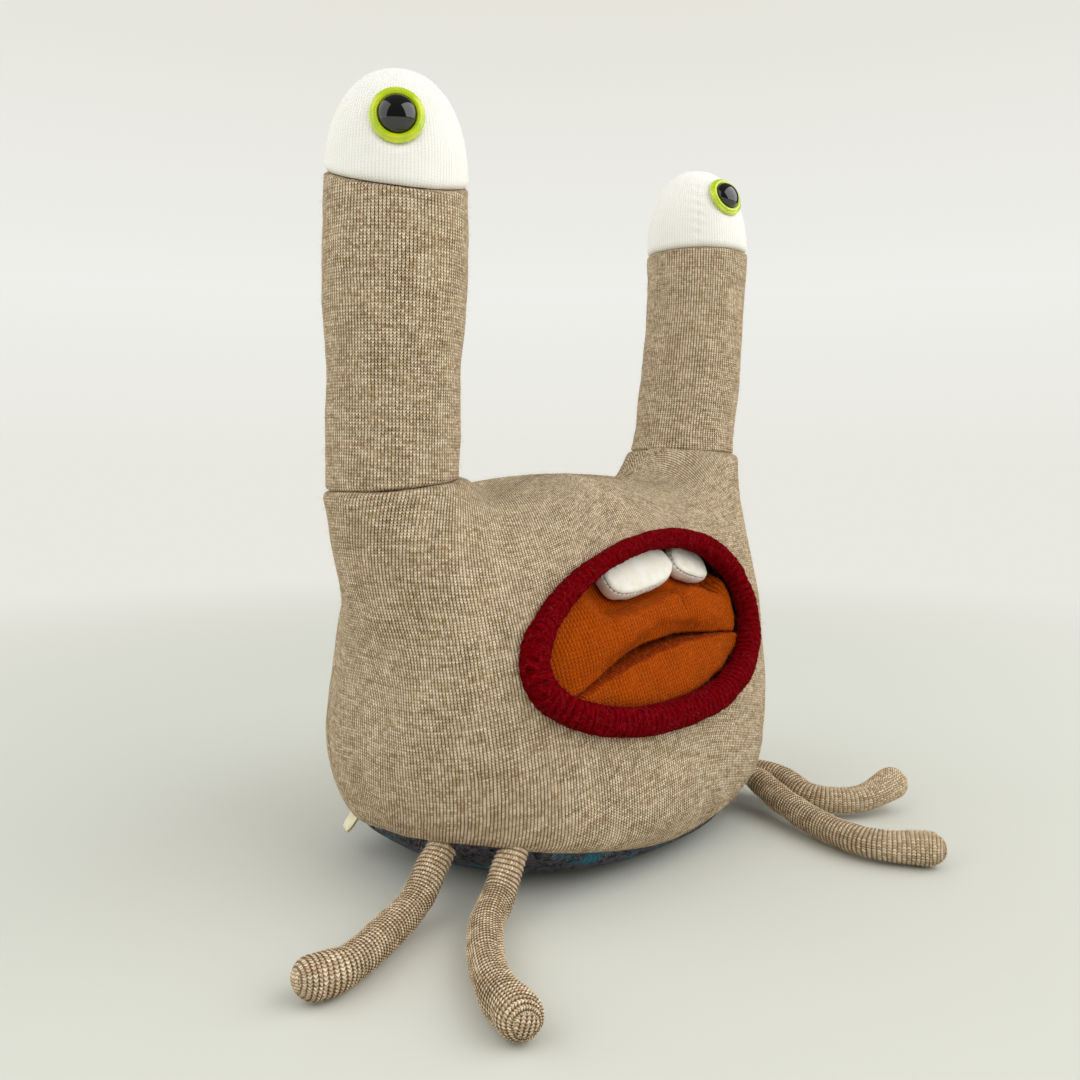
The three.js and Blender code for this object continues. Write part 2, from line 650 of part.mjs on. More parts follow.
// One padded half of the lining: a cushion behind its outline that follows the body's front
function liningLobe(above) {
  const outline = lobeOutline(above);
  const middle = [0, 1].map((k) => outline.reduce((sum, point) => sum + point[k], 0) / outline.length);
  const rings = [];
  const rows = 3;
  for (let i = -rows; i <= rows; i += 1) {
    const angle = (Math.PI / 2) * (i / rows) * LAST_RING;
    const scale = Math.cos(angle) ** LINING_SQUARE;
    const bulge = i < 0 ? LINING_CROWN : MOUTH_DEPTH - LINING_SETBACK;
    rings.push(outline.map(([ox, oz]) => {
      const x = middle[0] + (ox - middle[0]) * scale;
      const z = middle[1] + (oz - middle[1]) * scale;
      return new THREE.Vector3(x, LINING_SETBACK - frontDepth(x, z) + Math.sin(angle) * bulge, z);
    }));
  }
  return solidOf(loft(rings));
}

// A stuffed pillow hanging from its hinge line at local zero, made larger all round by grow
function toothForm(tooth, grow) {
  const halfThickness = TOOTH_THICKNESS / 2;
  const rings = [];
  const rows = 3;
  const count = 14;
  for (let i = -rows; i <= rows; i += 1) {
    const angle = (Math.PI / 2) * (i / rows) * LAST_RING;
    const edge = grow - (1 - Math.cos(angle) ** TOOTH_ROUND) * halfThickness;
    const ring = [];
    for (let j = 0; j < count; j += 1) {
      const c = Math.cos(2 * Math.PI * j / count);
      const s = Math.sin(2 * Math.PI * j / count);
      ring.push(new THREE.Vector3(
        (tooth.width / 2 + edge) * Math.sign(c) * Math.abs(c) ** TOOTH_SQUARE,
        (halfThickness + grow) * Math.sin(angle),
        halfThickness - tooth.height / 2 + (tooth.height / 2 + edge) * Math.sign(s) * Math.abs(s) ** TOOTH_SQUARE,
      ));
    }
    rings.push(ring);
  }
  return loft(rings);
}

// Height of the lip's middle line above a place along the mouth
function upperLipHeight(x) {
  let best = mouthPoint(Math.PI / 2);
  for (let i = 0; i <= 200; i += 1) {
    const point = mouthPoint(Math.PI * i / 200);
    if (Math.abs(point[0] - x) < Math.abs(best[0] - x)) best = point;
  }
  return best[1];
}

// Puts a tooth under the upper lip, its hinge line along the lip
function hangTooth(mesh, tooth) {
  const { degToRad } = THREE.MathUtils;
  const lipHeight = upperLipHeight(tooth.x);
  const lipDepth = frontDepth(tooth.x, lipHeight) + LIP_PROUD;
  const reach = LIP_RADIUS + TOOTH_THICKNESS / 2 + TOOTH_TUCK;
  const behind = degToRad(TOOTH_BEHIND);
  mesh.position.set(tooth.x, reach * Math.sin(behind) - lipDepth, lipHeight - reach * Math.cos(behind));
  mesh.rotation.set(degToRad(-TOOTH_PITCH), degToRad(-tooth.roll), degToRad(tooth.turn));
  return mesh;
}

// The hollow in the lining that a tooth lies in, open to the front so that the tooth can lift
function toothRoom(tooth) {
  const place = hangTooth(new THREE.Object3D(), tooth);
  place.updateMatrix();
  const deep = TOOTH_THICKNESS / 2 + TOOTH_ROOM;
  const tall = 2 * tooth.height;
  const room = new THREE.BoxGeometry(tooth.width + 2 * TOOTH_ROOM, 3 * deep, tall)
    .translate(0, -deep / 2, TOOTH_THICKNESS / 2 - tooth.height - TOOTH_ROOM + tall / 2);
  return solidOf(room.applyMatrix4(place.matrix));
}

// Legs

// The middle line runs from a root that touches the body just above its seam
function legCurve(leg) {
  const { point, normal } = surfaceAtSeam(leg.azimuth, ROOT_RISE);
  const root = point.addScaledVector(normal, LEG_RADIUS + GAP);
  const trail = leg.points.map(([x, y, z]) => new THREE.Vector3(x, y, z));
  return new THREE.CatmullRomCurve3([root, ...trail], false, 'centripetal');
}

function legRadius(t) {
  const swell = THREE.MathUtils.smoothstep(t, 0.7, 0.94);
  return LEG_RADIUS + (FOOT_RADIUS - LEG_RADIUS) * swell;
}

// A bent tube with round ends, drawn in by inset. With neck set, a thin neck runs out of its root
function legForm(leg, inset, sides, neck) {
  const steps = 7;
  const curve = legCurve(leg);
  const length = curve.getLength();
  const rings = [];
  const place = (along, radius) => {
    const u = Math.min(1, Math.max(0, along / length));
    const tangent = curve.getTangentAt(u);
    const centre = curve.getPointAt(u).addScaledVector(tangent, along - u * length);
    const side = new THREE.Vector3(0, 0, 1).cross(tangent).normalize();
    const up = tangent.clone().cross(side).normalize();
    const ring = [];
    for (let j = 0; j < sides; j += 1) {
      const angle = 2 * Math.PI * j / sides;
      ring.push(centre.clone()
        .addScaledVector(side, radius * Math.cos(angle))
        .addScaledVector(up, radius * Math.sin(angle)));
    }
    rings.push(ring);
  };
  const root = legRadius(0) - inset;
  const foot = legRadius(1) - inset;
  if (neck) place(-2 * LEG_RADIUS, LEG_MOUTH);
  for (let i = 0; i < 3; i += 1) {
    const angle = (Math.PI / 2) * ((i + 0.4) / 3);
    place(-root * Math.cos(angle), root * Math.sin(angle));
  }
  for (let i = 0; i <= steps; i += 1) {
    const along = (length - FOOT_RADIUS) * (i / steps);
    place(along, legRadius(along / length) - inset);
  }
  for (let i = 1; i < 4; i += 1) {
    const angle = (Math.PI / 2) * (i / 3.4);
    place(length - FOOT_RADIUS + foot * Math.sin(angle), foot * Math.cos(angle));
  }
  return solidOf(loft(rings));
}

function buildLeg(leg) {
  const outer = legForm(leg, 0, 10, false);
  const inner = legForm(leg, LEG_KNIT, 7, true);
  const filling = legForm(leg, LEG_KNIT + GAP, 7, false);
  return [
    piece(`leg_cover_${leg.name}`, geometryOf(outer.subtract(inner)), WOOL),
    piece(`leg_stuffing_${leg.name}`, geometryOf(filling), FIBREFILL),
  ];
}

// Tag

// A folded tape that comes out of the base seam behind the side seam's foot
function tagForm() {
  const { point, normal } = surfaceAtSeam(TAG.azimuth, 0);
  const fold = new THREE.Shape([
    new THREE.Vector2(0, TAG.thickness / 2),
    new THREE.Vector2(TAG.length - 1, TAG.thickness / 2 + 0.3),
    new THREE.Vector2(TAG.length, 0.4),
    new THREE.Vector2(TAG.length, -0.4),
    new THREE.Vector2(TAG.length - 1, -TAG.thickness / 2 - 0.3),
    new THREE.Vector2(0, -TAG.thickness / 2),
    new THREE.Vector2(0, -0.15),
    new THREE.Vector2(TAG.length - 1.4, -0.25),
    new THREE.Vector2(TAG.length - 1.4, 0.25),
    new THREE.Vector2(0, 0.15),
  ]);
  return new THREE.ExtrudeGeometry(fold, { depth: TAG.width, bevelEnabled: false })
    .translate(0, 0, -TAG.width / 2)
    .rotateX(Math.PI / 2)
    .rotateY(THREE.MathUtils.degToRad(TAG.droop))
    .translate(0.7, 0, -0.2)
    .rotateZ(Math.atan2(normal.y, normal.x))
    .translate(point.x, point.y, point.z);
}

// Assembly

const monster = new THREE.Group();
monster.name = 'plush_monster';

const seamTilt = THREE.MathUtils.degToRad(BASE_SEAM_TILT);
const seamUp = new THREE.Vector3(Math.sin(seamTilt), 0, Math.cos(seamTilt));
const back = new THREE.Vector3(0, 1, 0);
const seamAt = (distance) => seamUp.clone().multiplyScalar(distance).setZ(BASE_SEAM_HEIGHT + distance);
const sideAt = (distance) => new THREE.Vector3(0, SIDE_SEAM_DEPTH + distance, 0);

// The back of the mouth's room leans as the front does
const mouthOut = new THREE.Vector3(0, -Math.cos(mouthLean), Math.sin(mouthLean));
const mouthBack = new THREE.Vector3(MOUTH.x, -frontDepth(MOUTH.x, MOUTH.z), MOUTH.z)
  .addScaledVector(mouthOut, -MOUTH_DEPTH - MOUTH_ROOM);
const mouthEdge = Array.from({ length: 48 }, (_, i) => mouthPoint(2 * Math.PI * i / 48));
const opening = prism(mouthEdge, FAR / 4, 0).intersect(halfSpace(mouthBack, mouthOut));
const lipRoom = solidOf(lipTube(LIP_CLEARANCE, 31, 0));
const rooms = STALKS.map(stalkRoom).reduce((sum, room) => sum.add(room)).add(lipRoom).add(opening);

const skin = bodyOuter.subtract(bodyInner).subtract(rooms);
const knit = skin.intersect(halfSpace(seamAt(GAP / 2), seamUp));
const base = skin.subtract(halfSpace(seamAt(-GAP / 2), seamUp));
monster.add(piece('body_front', geometryOf(knit.subtract(halfSpace(sideAt(-GAP / 2), back))), WOOL));
monster.add(piece('body_back', geometryOf(knit.intersect(halfSpace(sideAt(GAP / 2), back))), WOOL));
monster.add(piece('base_panel', geometryOf(base), TWEED));
monster.add(piece('body_stuffing', geometryOf(bodyFill.subtract(rooms)), FIBREFILL));

const roof = TEETH.map(toothRoom).reduce((lobe, room) => lobe.subtract(room), liningLobe(true));
monster.add(piece('lip_ring', lipTube(0, LIP_RIBS, RIB_DEPTH), RED_RIB));
monster.add(piece('mouth_lining_upper', geometryOf(roof.subtract(lipRoom)), ORANGE_KNIT));
monster.add(piece('mouth_lining_lower', geometryOf(liningLobe(false).subtract(lipRoom)), ORANGE_KNIT));

for (const tooth of TEETH) {
  monster.add(hangTooth(piece(`tooth_${tooth.side}`, toothForm(tooth, 0), WHITE_KNIT), tooth));
}
for (const stalk of STALKS) monster.add(buildStalk(stalk));
for (const leg of LEGS) monster.add(...buildLeg(leg));
monster.add(piece('side_tag', tagForm(), TAG_TAPE));

export default monster;
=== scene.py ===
"""A hand-sewn plush monster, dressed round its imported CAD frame.

The stuffed pieces are worked out here, in millimetres, from the same outlines as the CAD solids, as
fine skins whose knit follows a flat layout of the fabric. Front is -Y, and right is the toy's own, -X.
"""
import math

import bmesh
import bpy
import numpy as np
from mathutils import Matrix, Vector
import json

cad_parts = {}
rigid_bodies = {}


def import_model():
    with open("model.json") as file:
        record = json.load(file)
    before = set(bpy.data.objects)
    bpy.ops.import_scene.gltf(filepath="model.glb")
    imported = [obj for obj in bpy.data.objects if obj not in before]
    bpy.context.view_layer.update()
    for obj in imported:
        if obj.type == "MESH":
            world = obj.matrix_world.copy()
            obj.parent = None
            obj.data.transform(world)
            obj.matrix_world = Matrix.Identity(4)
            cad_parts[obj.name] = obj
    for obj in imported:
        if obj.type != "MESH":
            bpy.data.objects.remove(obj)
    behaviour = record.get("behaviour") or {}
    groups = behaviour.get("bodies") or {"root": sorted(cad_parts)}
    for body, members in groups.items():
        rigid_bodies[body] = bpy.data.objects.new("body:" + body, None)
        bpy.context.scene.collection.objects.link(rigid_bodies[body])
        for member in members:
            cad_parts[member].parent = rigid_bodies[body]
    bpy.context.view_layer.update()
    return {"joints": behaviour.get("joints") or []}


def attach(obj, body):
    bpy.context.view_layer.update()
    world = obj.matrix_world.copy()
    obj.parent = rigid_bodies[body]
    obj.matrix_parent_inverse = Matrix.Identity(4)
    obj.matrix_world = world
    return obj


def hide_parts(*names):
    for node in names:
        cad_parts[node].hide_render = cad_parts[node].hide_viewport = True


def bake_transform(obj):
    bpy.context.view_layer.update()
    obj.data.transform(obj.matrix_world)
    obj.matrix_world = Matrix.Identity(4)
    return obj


for leftover in list(bpy.data.objects):
    bpy.data.objects.remove(leftover)
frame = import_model()

bl_info = {
    "name": "Plush monster",
    "version": (1, 0, 0),
    "blender": (4, 5, 0),
    "location": "3D View > Sidebar > Plush monster",
    "description": "Dresses a stuffed knitted monster and its stage",
    "category": "Object",
}

MM = 0.001
JOINTS = {joint["name"]: joint for joint in frame["joints"]}

# All sizes here are in millimetres and all turns in degrees, unless a comment says otherwise

# Body outlines by height: height, half-width, front and back half-depths, squareness of the front
BODY_SECTIONS = np.array([
    (0, 78, 62, 60, 2.2),
    (8, 99, 79, 77, 2.2),
    (15, 110, 86, 84, 2.3),
    (30, 126, 92, 89, 2.5),
    (55, 135, 90, 91, 2.7),
    (80, 134, 83, 92, 3.2),
    (118, 127, 70, 92, 4.2),
    (150, 125, 60, 88, 4.2),
    (200, 122, 55, 82, 3.4),
])
BACK_SQUARE = 2.4
BODY_TOP = 196
CROWN_START = 105
CROWN_POWER = 2.6
HEART = np.array([0.0, 0.0, 95.0])
BASE_SEAM_HEIGHT = 19.5
BASE_SEAM_TILT = 3.8
# Where the base seam rises or dips: by how much, at which azimuth and how far round
BASE_SEAM_SHIFTS = ((4, 204, 14), (-8.5, 262, 32), (-5, 162, 16))
BASE_SEAM_GAP = 0.15
SIDE_SEAM_DEPTH = 43
# How far forwards the feet of the side seams run, and between which heights they bend
SIDE_SEAM_SWEEP = 33
SIDE_SEAM_BEND = (8, 88)
SIDE_SEAM_GAP = 0.1
# Depth and half-width of the grooves that the seams draw
BASE_GROOVE = (1.3, 2.2)
SIDE_GROOVE = (0.9, 1.8)
SHOULDER_FALL = 82
SHOULDER_ROOM = 2.2
SHOULDER_EDGE = 4
# Farther from the middle of the body than any place on it
FARTHEST = 260.0

# swells: the stalk's radius over or under its mean, by share of the knit's length
STALKS = {
    "right": {
        "x": -115.5, "seam": 192, "top": 379, "cap_seam": 332, "radius": 32.7, "seam_tilt": -5.5,
        "lean": (1.5, 0.5), "bow": 0, "cap_tilt": (16.3, -8.4),
        "eye_turn": -38, "eye_rise": 5, "eye_drop": 28,
        "swells": ((-0.2, -1.2), (0.1, -1.6), (0.35, -1.6), (0.55, -0.2), (0.75, 0.9), (1, 0)),
        "reach": 32, "swell": 9, "blend": 12, "narrow": 1.6, "flare": 0,
    },
    "left": {
        "x": 116, "seam": 208, "top": 384, "cap_seam": 333, "radius": 31.3, "seam_tilt": 3,
        "lean": (0, 3.6), "bow": 6, "cap_tilt": (0, -4),
        "eye_turn": -13, "eye_rise": 19, "eye_drop": 20,
        "swells": ((-0.2, -0.2), (0.1, -0.2), (0.35, -0.2), (0.55, -0.6), (0.75, -1), (1, 0)),
        "reach": 18, "swell": 14, "blend": 26, "narrow": -1, "flare": 3,
    },
}
STALK_SWING = 18
CAP_POWER = 2.3
CAP_HEIGHT = 52
EYE_SEAT = 1.2
EYE_LIFT = 0.3

MOUTH = {"x": -5.5, "z": 117, "half_width": 87, "half_height": 39.5, "square": 2.2, "tilt": 6.5, "egg": 0.18}
LIP_RADIUS = 7
LIP_PROUD = 3
LINING_EDGE = 2
LINING_SETBACK = 14
LINING_CROWN = 14
LINING_BACK = 16
LINING_SQUARE = 0.28
CREASE_RISE = -10
CREASE_ARCH = 10.5

TEETH = {
    "right": {"x": 1.5, "width": 60, "height": 23.5, "roll": 8, "turn": -3},
    "left": {"x": 51.5, "width": 37, "height": 19, "roll": -13, "turn": 7},
}
TOOTH_THICKNESS = 10
TOOTH_PITCH = 35
TOOTH_TRIM = 2
TOOTH_SHIFT = {"right": 2, "left": 0}
# How far round its edge, in radians, a tooth's seam lies towards the front
TOOTH_SEAM = 0.62

LEG_RADIUS = 7.6
FOOT_RADIUS = 9
# Middle lines of the legs from their roots in the base seam
LEGS = {
    "right_rear": (
        (-117.5, -35, 28.5), (-139, -43, 11.8), (-160, -52, 9), (-195, -65, 9), (-214, -62, 10.5)),
    "right_front": (
        (-100.8, -63.7, 27), (-115, -69, 12), (-132, -80, 9), (-159, -112, 8.6), (-174, -146, 9.8)),
    "left_front": (
        (97, -64, 20.5), (91, -82, 13.5), (75, -119, 9), (67, -153, 8.6), (83, -187, 9.8)),
    "left_rear": (
        (110.7, -42.9, 13.7), (113, -74, 15), (107, -101, 10), (121, -121, 10.5), (154, -132, 18)),
}

TAG = {"width": 12, "length": 10, "droop": 52, "azimuth": 158, "level": 21.2}

# One stitch of the body's knit
WALE = 1.65
COURSE = 1.35


# Maths of the forms, in millimetres

def smooth_through(x, places, values):
    """A smooth curve through values at rising places."""
    places, values = np.asarray(places, float), np.asarray(values, float)
    last = len(places) - 1
    i = np.clip(np.searchsorted(places, x, side="left") - 1, 0, last - 1)
    span = places[i + 1] - places[i]
    t = np.clip((x - places[i]) / span, 0, 1)
    slopes = np.zeros(last + 1)
    slopes[1:last] = (values[2:] - values[:-2]) / (places[2:] - places[:-2])
    slopes[0] = (values[1] - values[0]) / (places[1] - places[0])
    return (values[i] * (2 * t**3 - 3 * t**2 + 1) + slopes[i] * span * (t**3 - 2 * t**2 + t)
            + values[i + 1] * (3 * t**2 - 2 * t**3) + slopes[i + 1] * span * (t**3 - t**2))


def smooth_min(a, b, blend):
    """The lower of two fields, rounded where they cross."""
    h = np.maximum(blend - np.abs(a - b), 0) / blend
    return np.minimum(a, b) - h * h * blend / 4


def smooth_step(x, low, high):
    """0 below low, 1 above high, and smooth between them."""
    t = np.clip((x - low) / (high - low), 0, 1)
    return t * t * (3 - 2 * t)


def bell(distance, height, width):
    """A smooth swell or groove: height where distance is 0, and gone at about twice the width."""
    return height * np.exp(-((distance / width) ** 2))


def turned(x, y, z):
    """Turns about X, then Y, then Z of the moving frame, in degrees."""
    turns = [Matrix.Rotation(math.radians(a), 3, axis) for a, axis in ((x, "X"), (y, "Y"), (z, "Z"))]
    return np.array(turns[0] @ turns[1] @ turns[2])


def unit(v):
    """The same ways with a length of 1."""
    return v / np.maximum(np.linalg.norm(v, axis=-1, keepdims=True), 1e-9)


def lumps(p, size, height, seed):
    """Soft unevenness of stuffing, about height mm high, in lumps about size mm across."""
    waves = np.random.default_rng(seed)
    total = np.zeros(p.shape[:-1])
    for _ in range(9):
        way = unit(waves.normal(size=3)) * 2 * math.pi / (size * waves.uniform(0.7, 1.6))
        total += np.sin(p @ way + waves.uniform(0, 2 * math.pi))
    return height * total / 4


def arc_lengths(points, axis):
    """Distance along rows or columns of points from their first one."""
    steps = np.linalg.norm(np.diff(points, axis=axis), axis=-1)
    start = np.zeros_like(np.take(steps, [0], axis=axis))
    return np.concatenate([start, np.cumsum(steps, axis=axis)], axis=axis)


def seam_up(stalk):
    """The way that the seam under a stalk faces."""
    tilt = math.radians(stalk["seam_tilt"])
    return np.array([math.sin(tilt), 0, math.cos(tilt)])


def body_field(p):
    """Below zero inside the body: a belly of rounded sections with a shoulder under each stalk."""
    x, y, z = p[..., 0], p[..., 1], p[..., 2]
    heights = BODY_SECTIONS[:, 0]
    width, front, back, square = (smooth_through(z, heights, BODY_SECTIONS[:, k]) for k in (1, 2, 3, 4))
    depth = np.where(y < 0, front, back)
    power = np.where(y < 0, square, BACK_SQUARE)
    across = ((np.abs(x) / width) ** power + (np.abs(y) / depth) ** power) ** (1 / power)
    rise = np.maximum(0, z - CROWN_START) / (BODY_TOP - CROWN_START)
    reach = (across**CROWN_POWER + rise**CROWN_POWER) ** (1 / CROWN_POWER)
    field = (reach - 1) * depth
    for stalk in STALKS.values():
        top = np.array([stalk["x"], 0, stalk["seam"]])
        fall = np.array([-math.copysign(stalk["reach"], stalk["x"]), 0, -SHOULDER_FALL])
        t = np.clip((p - top) @ fall / (fall @ fall), 0, 1)
        distance = np.linalg.norm(p - top - t[..., None] * fall, axis=-1)
        narrow = stalk["narrow"] * (1 - smooth_step(t, 0, 0.3))
        side = distance - stalk["radius"] - SHOULDER_ROOM + narrow - t * stalk["swell"]
        above = (p - top) @ seam_up(stalk)
        field = smooth_min(field, -smooth_min(-side, -above, SHOULDER_EDGE), stalk["blend"])
    return field


def body_reach(origin, direction):
    """Distance along rays to the body's surface, found by halving."""
    near = np.zeros(np.broadcast_shapes(origin.shape, direction.shape)[:-1])
    far = np.full_like(near, FARTHEST)
    for _ in range(26):
        middle = (near + far) / 2
        inside = body_field(origin + direction * middle[..., None]) < 0
        near, far = np.where(inside, middle, near), np.where(inside, far, middle)
    return near


def front_depth(x, z):
    """Depth of the body's front, counted forwards from the middle."""
    x, z = np.broadcast_arrays(np.asarray(x, float), np.asarray(z, float))
    origin = np.stack([x, np.zeros_like(x), z], axis=-1)
    return body_reach(origin, np.array([0.0, -1.0, 0.0]))


def in_mouth(along, rise):
    """X and Z of a place counted along and up the tilted mouth."""
    tilt = math.radians(MOUTH["tilt"])
    return (MOUTH["x"] + along * math.cos(tilt) - rise * math.sin(tilt),
            MOUTH["z"] + along * math.sin(tilt) + rise * math.cos(tilt))


def from_mouth(x, z):
    """A place in X and Z counted along and up the tilted mouth."""
    tilt = math.radians(MOUTH["tilt"])
    x, z = x - MOUTH["x"], z - MOUTH["z"]
    return x * math.cos(tilt) + z * math.sin(tilt), z * math.cos(tilt) - x * math.sin(tilt)


def oval_point(angle, grow):
    """Points of the mouth's oval, made larger by grow all round."""
    power = 2 / MOUTH["square"]
    c, s = np.cos(angle), np.sin(angle)
    along = (MOUTH["half_width"] + grow) * np.sign(c) * np.abs(c) ** power
    high = MOUTH["half_height"] * (1 + MOUTH["egg"] * along / MOUTH["half_width"]) + grow
    return along, high * np.sign(s) * np.abs(s) ** power


def oval_share(x, z):
    """Below 1 inside the mouth's oval, 1 on it."""
    along, rise = from_mouth(x, z)
    high = MOUTH["half_height"] * (1 + MOUTH["egg"] * along / MOUTH["half_width"])
    square = MOUTH["square"]
    return (np.abs(along / MOUTH["half_width"]) ** square + np.abs(rise / high) ** square) ** (1 / square)


def root_of(stalk):
    """The middle of a stalk's root, above the seam by what the stalk needs to swing."""
    return np.array([stalk["x"], 0, stalk["seam"] + stalk["radius"] * math.tan(math.radians(STALK_SWING))])


def bow_at(stalk, z):
    """How far a stalk bows sideways at a height above its root."""
    height = stalk["top"] - root_of(stalk)[2]
    return stalk["bow"] * np.sin(np.pi * np.clip(z / height, 0, 1))


def stalk_radius(stalk, z):
    """Radius of a stalk at a height above its root."""
    shaft = stalk["top"] - root_of(stalk)[2] - CAP_HEIGHT
    shares, swells = zip(*stalk["swells"])
    low = stalk["radius"] + smooth_through(z / shaft, shares, swells)
    t = np.clip((z - shaft) / CAP_HEIGHT, 0, 1)
    dome = stalk["radius"] * (1 - t**CAP_POWER) ** (1 / CAP_POWER)
    return np.where(z < shaft, low, dome)


def eye_place(stalk):
    """Middle of the eye's back and the way that it looks, in the stalk's own frame."""
    height = stalk["top"] - root_of(stalk)[2]
    turn, rise = math.radians(stalk["eye_turn"]), math.radians(stalk["eye_rise"])
    out = np.array([math.sin(turn), -math.cos(turn), 0])
    level = height - stalk["eye_drop"]
    seat = out * float(stalk_radius(stalk, np.array(level))) + np.array([0, 0, level])
    seat[0] += bow_at(stalk, level)
    normal = out * math.cos(rise) + np.array([0, 0, math.sin(rise)])
    return seat - normal * EYE_SEAT, normal


def stalk_frame(stalk):
    """The turn of a stalk's own frame, and its root."""
    return turned(*stalk["lean"], 0), root_of(stalk)


# Meshes

def linear(code):
    """An sRGB hex colour as linear values."""
    parts = [int(code[i:i + 2], 16) / 255 for i in (1, 3, 5)]
    return tuple(c / 12.92 if c <= 0.04045 else ((c + 0.055) / 1.055) ** 2.4 for c in parts)


def skin(name, points, layout, ends=(True, True), drop=None):
    """A mesh over rows of points round a piece, with its fabric layout as a UV map, all in mm.

    layout has one column more than points, for the far side of the fabric's join. ends says which ends
    are closed. drop picks faces to leave out by their middles."""
    rows, cols = points.shape[:2]
    i, j = (a.ravel() for a in np.meshgrid(np.arange(rows - 1), np.arange(cols), indexing="ij"))
    k = (j + 1) % cols
    quads = np.stack([i * cols + j, i * cols + k, (i + 1) * cols + k, (i + 1) * cols + j], axis=-1)
    flat = np.stack([layout[i, j], layout[i, j + 1], layout[i + 1, j + 1], layout[i + 1, j]], axis=1)
    places = points.reshape(-1, 3)
    if drop is not None:
        kept = ~drop(places[quads].mean(axis=1))
        quads, flat = quads[kept], flat[kept]
    faces, loops = quads.tolist(), list(flat.reshape(-1, 2))
    places = list(places)
    for end, row in zip(ends, (0, rows - 1)):
        if not end:
            continue
        hub = len(places)
        places.append(points[row].mean(axis=0))
        for a in range(cols):
            b = (a + 1) % cols
            corners = [(row * cols + b, a + 1), (row * cols + a, a)]
            if row:
                corners.reverse()
            faces.append([hub] + [corner for corner, _ in corners])
            loops.append((layout[row, a] + layout[row, a + 1]) / 2)
            loops += [layout[row, column] for _, column in corners]
    mesh = bpy.data.meshes.new(name)
    mesh.from_pydata((np.array(places) * MM).tolist(), [], faces)
    mesh.uv_layers.new(name="Knit").data.foreach_set("uv", (np.array(loops) * MM).ravel())
    mesh.shade_smooth()
    return mesh


def cut(mesh, point, normal):
    """Keeps the part of a mesh on the side of a plane that its normal points to, in mm."""
    work = bmesh.new()
    work.from_mesh(mesh)
    bmesh.ops.bisect_plane(
        work, geom=work.verts[:] + work.edges[:] + work.faces[:], dist=1e-7,
        plane_co=Vector(point) * MM, plane_no=Vector(normal), clear_inner=True)
    work.to_mesh(mesh)
    work.free()


def face_out(mesh, join=False):
    """Turns all faces outwards. join first sews together the points that lie on each other."""
    work = bmesh.new()
    work.from_mesh(mesh)
    if join:
        bmesh.ops.remove_doubles(work, verts=work.verts[:], dist=1e-6)
    bmesh.ops.recalc_face_normals(work, faces=work.faces[:])
    work.to_mesh(mesh)
    work.free()


def put_in_scene(name, data):
    """A new object in the scene, with its mesh, lamp or camera."""
    obj = bpy.data.objects.new(name, data)
    bpy.context.scene.collection.objects.link(obj)
    return obj


def dress(name, mesh, material, nodes, body=None):
    """Puts a finished mesh in the scene as a piece that stands for CAD nodes."""
    obj = put_in_scene(name, mesh)
    mesh.materials.append(material)
    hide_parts(*nodes)
    if body:
        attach(obj, body)
    return obj


def corner_places(mesh):
    """Places of a mesh's points in mm."""
    places = np.empty(len(mesh.vertices) * 3)
    mesh.vertices.foreach_get("co", places)
    return places.reshape(-1, 3) / MM


def move_points(mesh, places):
    """Puts a mesh's points at places in mm."""
    mesh.vertices.foreach_set("co", (places * MM).ravel())
    mesh.update()


def lay_flat(mesh, layout):
    """Gives a mesh its fabric layout from a function of its points in mm."""
    flat = layout(corner_places(mesh)) * MM
    corners = np.empty(len(mesh.loops), dtype=np.int32)
    mesh.loops.foreach_get("vertex_index", corners)
    layer = mesh.uv_layers.get("Knit") or mesh.uv_layers.new(name="Knit")
    layer.data.foreach_set("uv", flat[corners].ravel())


def apply_modifiers(obj):
    """Makes the modifiers of an object part of its mesh."""
    bpy.ops.object.select_all(action="DESELECT")
    bpy.context.view_layer.objects.active = obj
    obj.select_set(True)
    for modifier in list(obj.modifiers):
        bpy.ops.object.modifier_apply(modifier=modifier.name)


CLOTH_FRAMES = 20


def stuff(name, mesh, voxel, pressure, cap):
    """Remeshes a closed form evenly and blows it up as cloth, no point moving more than cap mm."""
    obj = put_in_scene(name, mesh)
    scene = bpy.context.scene
    even = obj.modifiers.new("Even cloth", "REMESH")
    even.mode, even.voxel_size = "VOXEL", voxel * MM
    apply_modifiers(obj)
    rest = corner_places(obj.data)
    cloth = obj.modifiers.new("Stuffing", "CLOTH")
    cloth.settings.quality = 6
    cloth.settings.mass = 0.15
    cloth.settings.use_pressure = True
    cloth.settings.uniform_pressure_force = pressure
    cloth.settings.effector_weights.gravity = 0
    for number in range(1, CLOTH_FRAMES + 1):
        scene.frame_set(number)
    apply_modifiers(obj)
    scene.frame_set(1)
    move = corner_places(obj.data) - rest
    size = np.linalg.norm(move, axis=1, keepdims=True)
    move_points(obj.data, rest + move * np.minimum(1, cap / np.maximum(size, 1e-6)))
    smooth = obj.modifiers.new("Even out", "SMOOTH")
    smooth.factor, smooth.iterations = 0.5, 3
    fine = obj.modifiers.new("Fine", "SUBSURF")
    fine.levels = fine.render_levels = 1
    apply_modifiers(obj)
    finished = obj.data
    bpy.data.objects.remove(obj)
    finished.name = name
    finished.shade_smooth()
    return finished


FIBRE_HALF_WIDTH = 0.045
FIBRE_STEPS = np.linspace(0, 1, 4)
# Shares of a fibre's length or width: how far it runs along the fabric, sags, curls aside and narrows
FIBRE_RUN = 0.8
FIBRE_SAG = 0.45
FIBRE_CURL = 0.35
FIBRE_TAPER = 0.6
FLOOR_GAP = 0.1


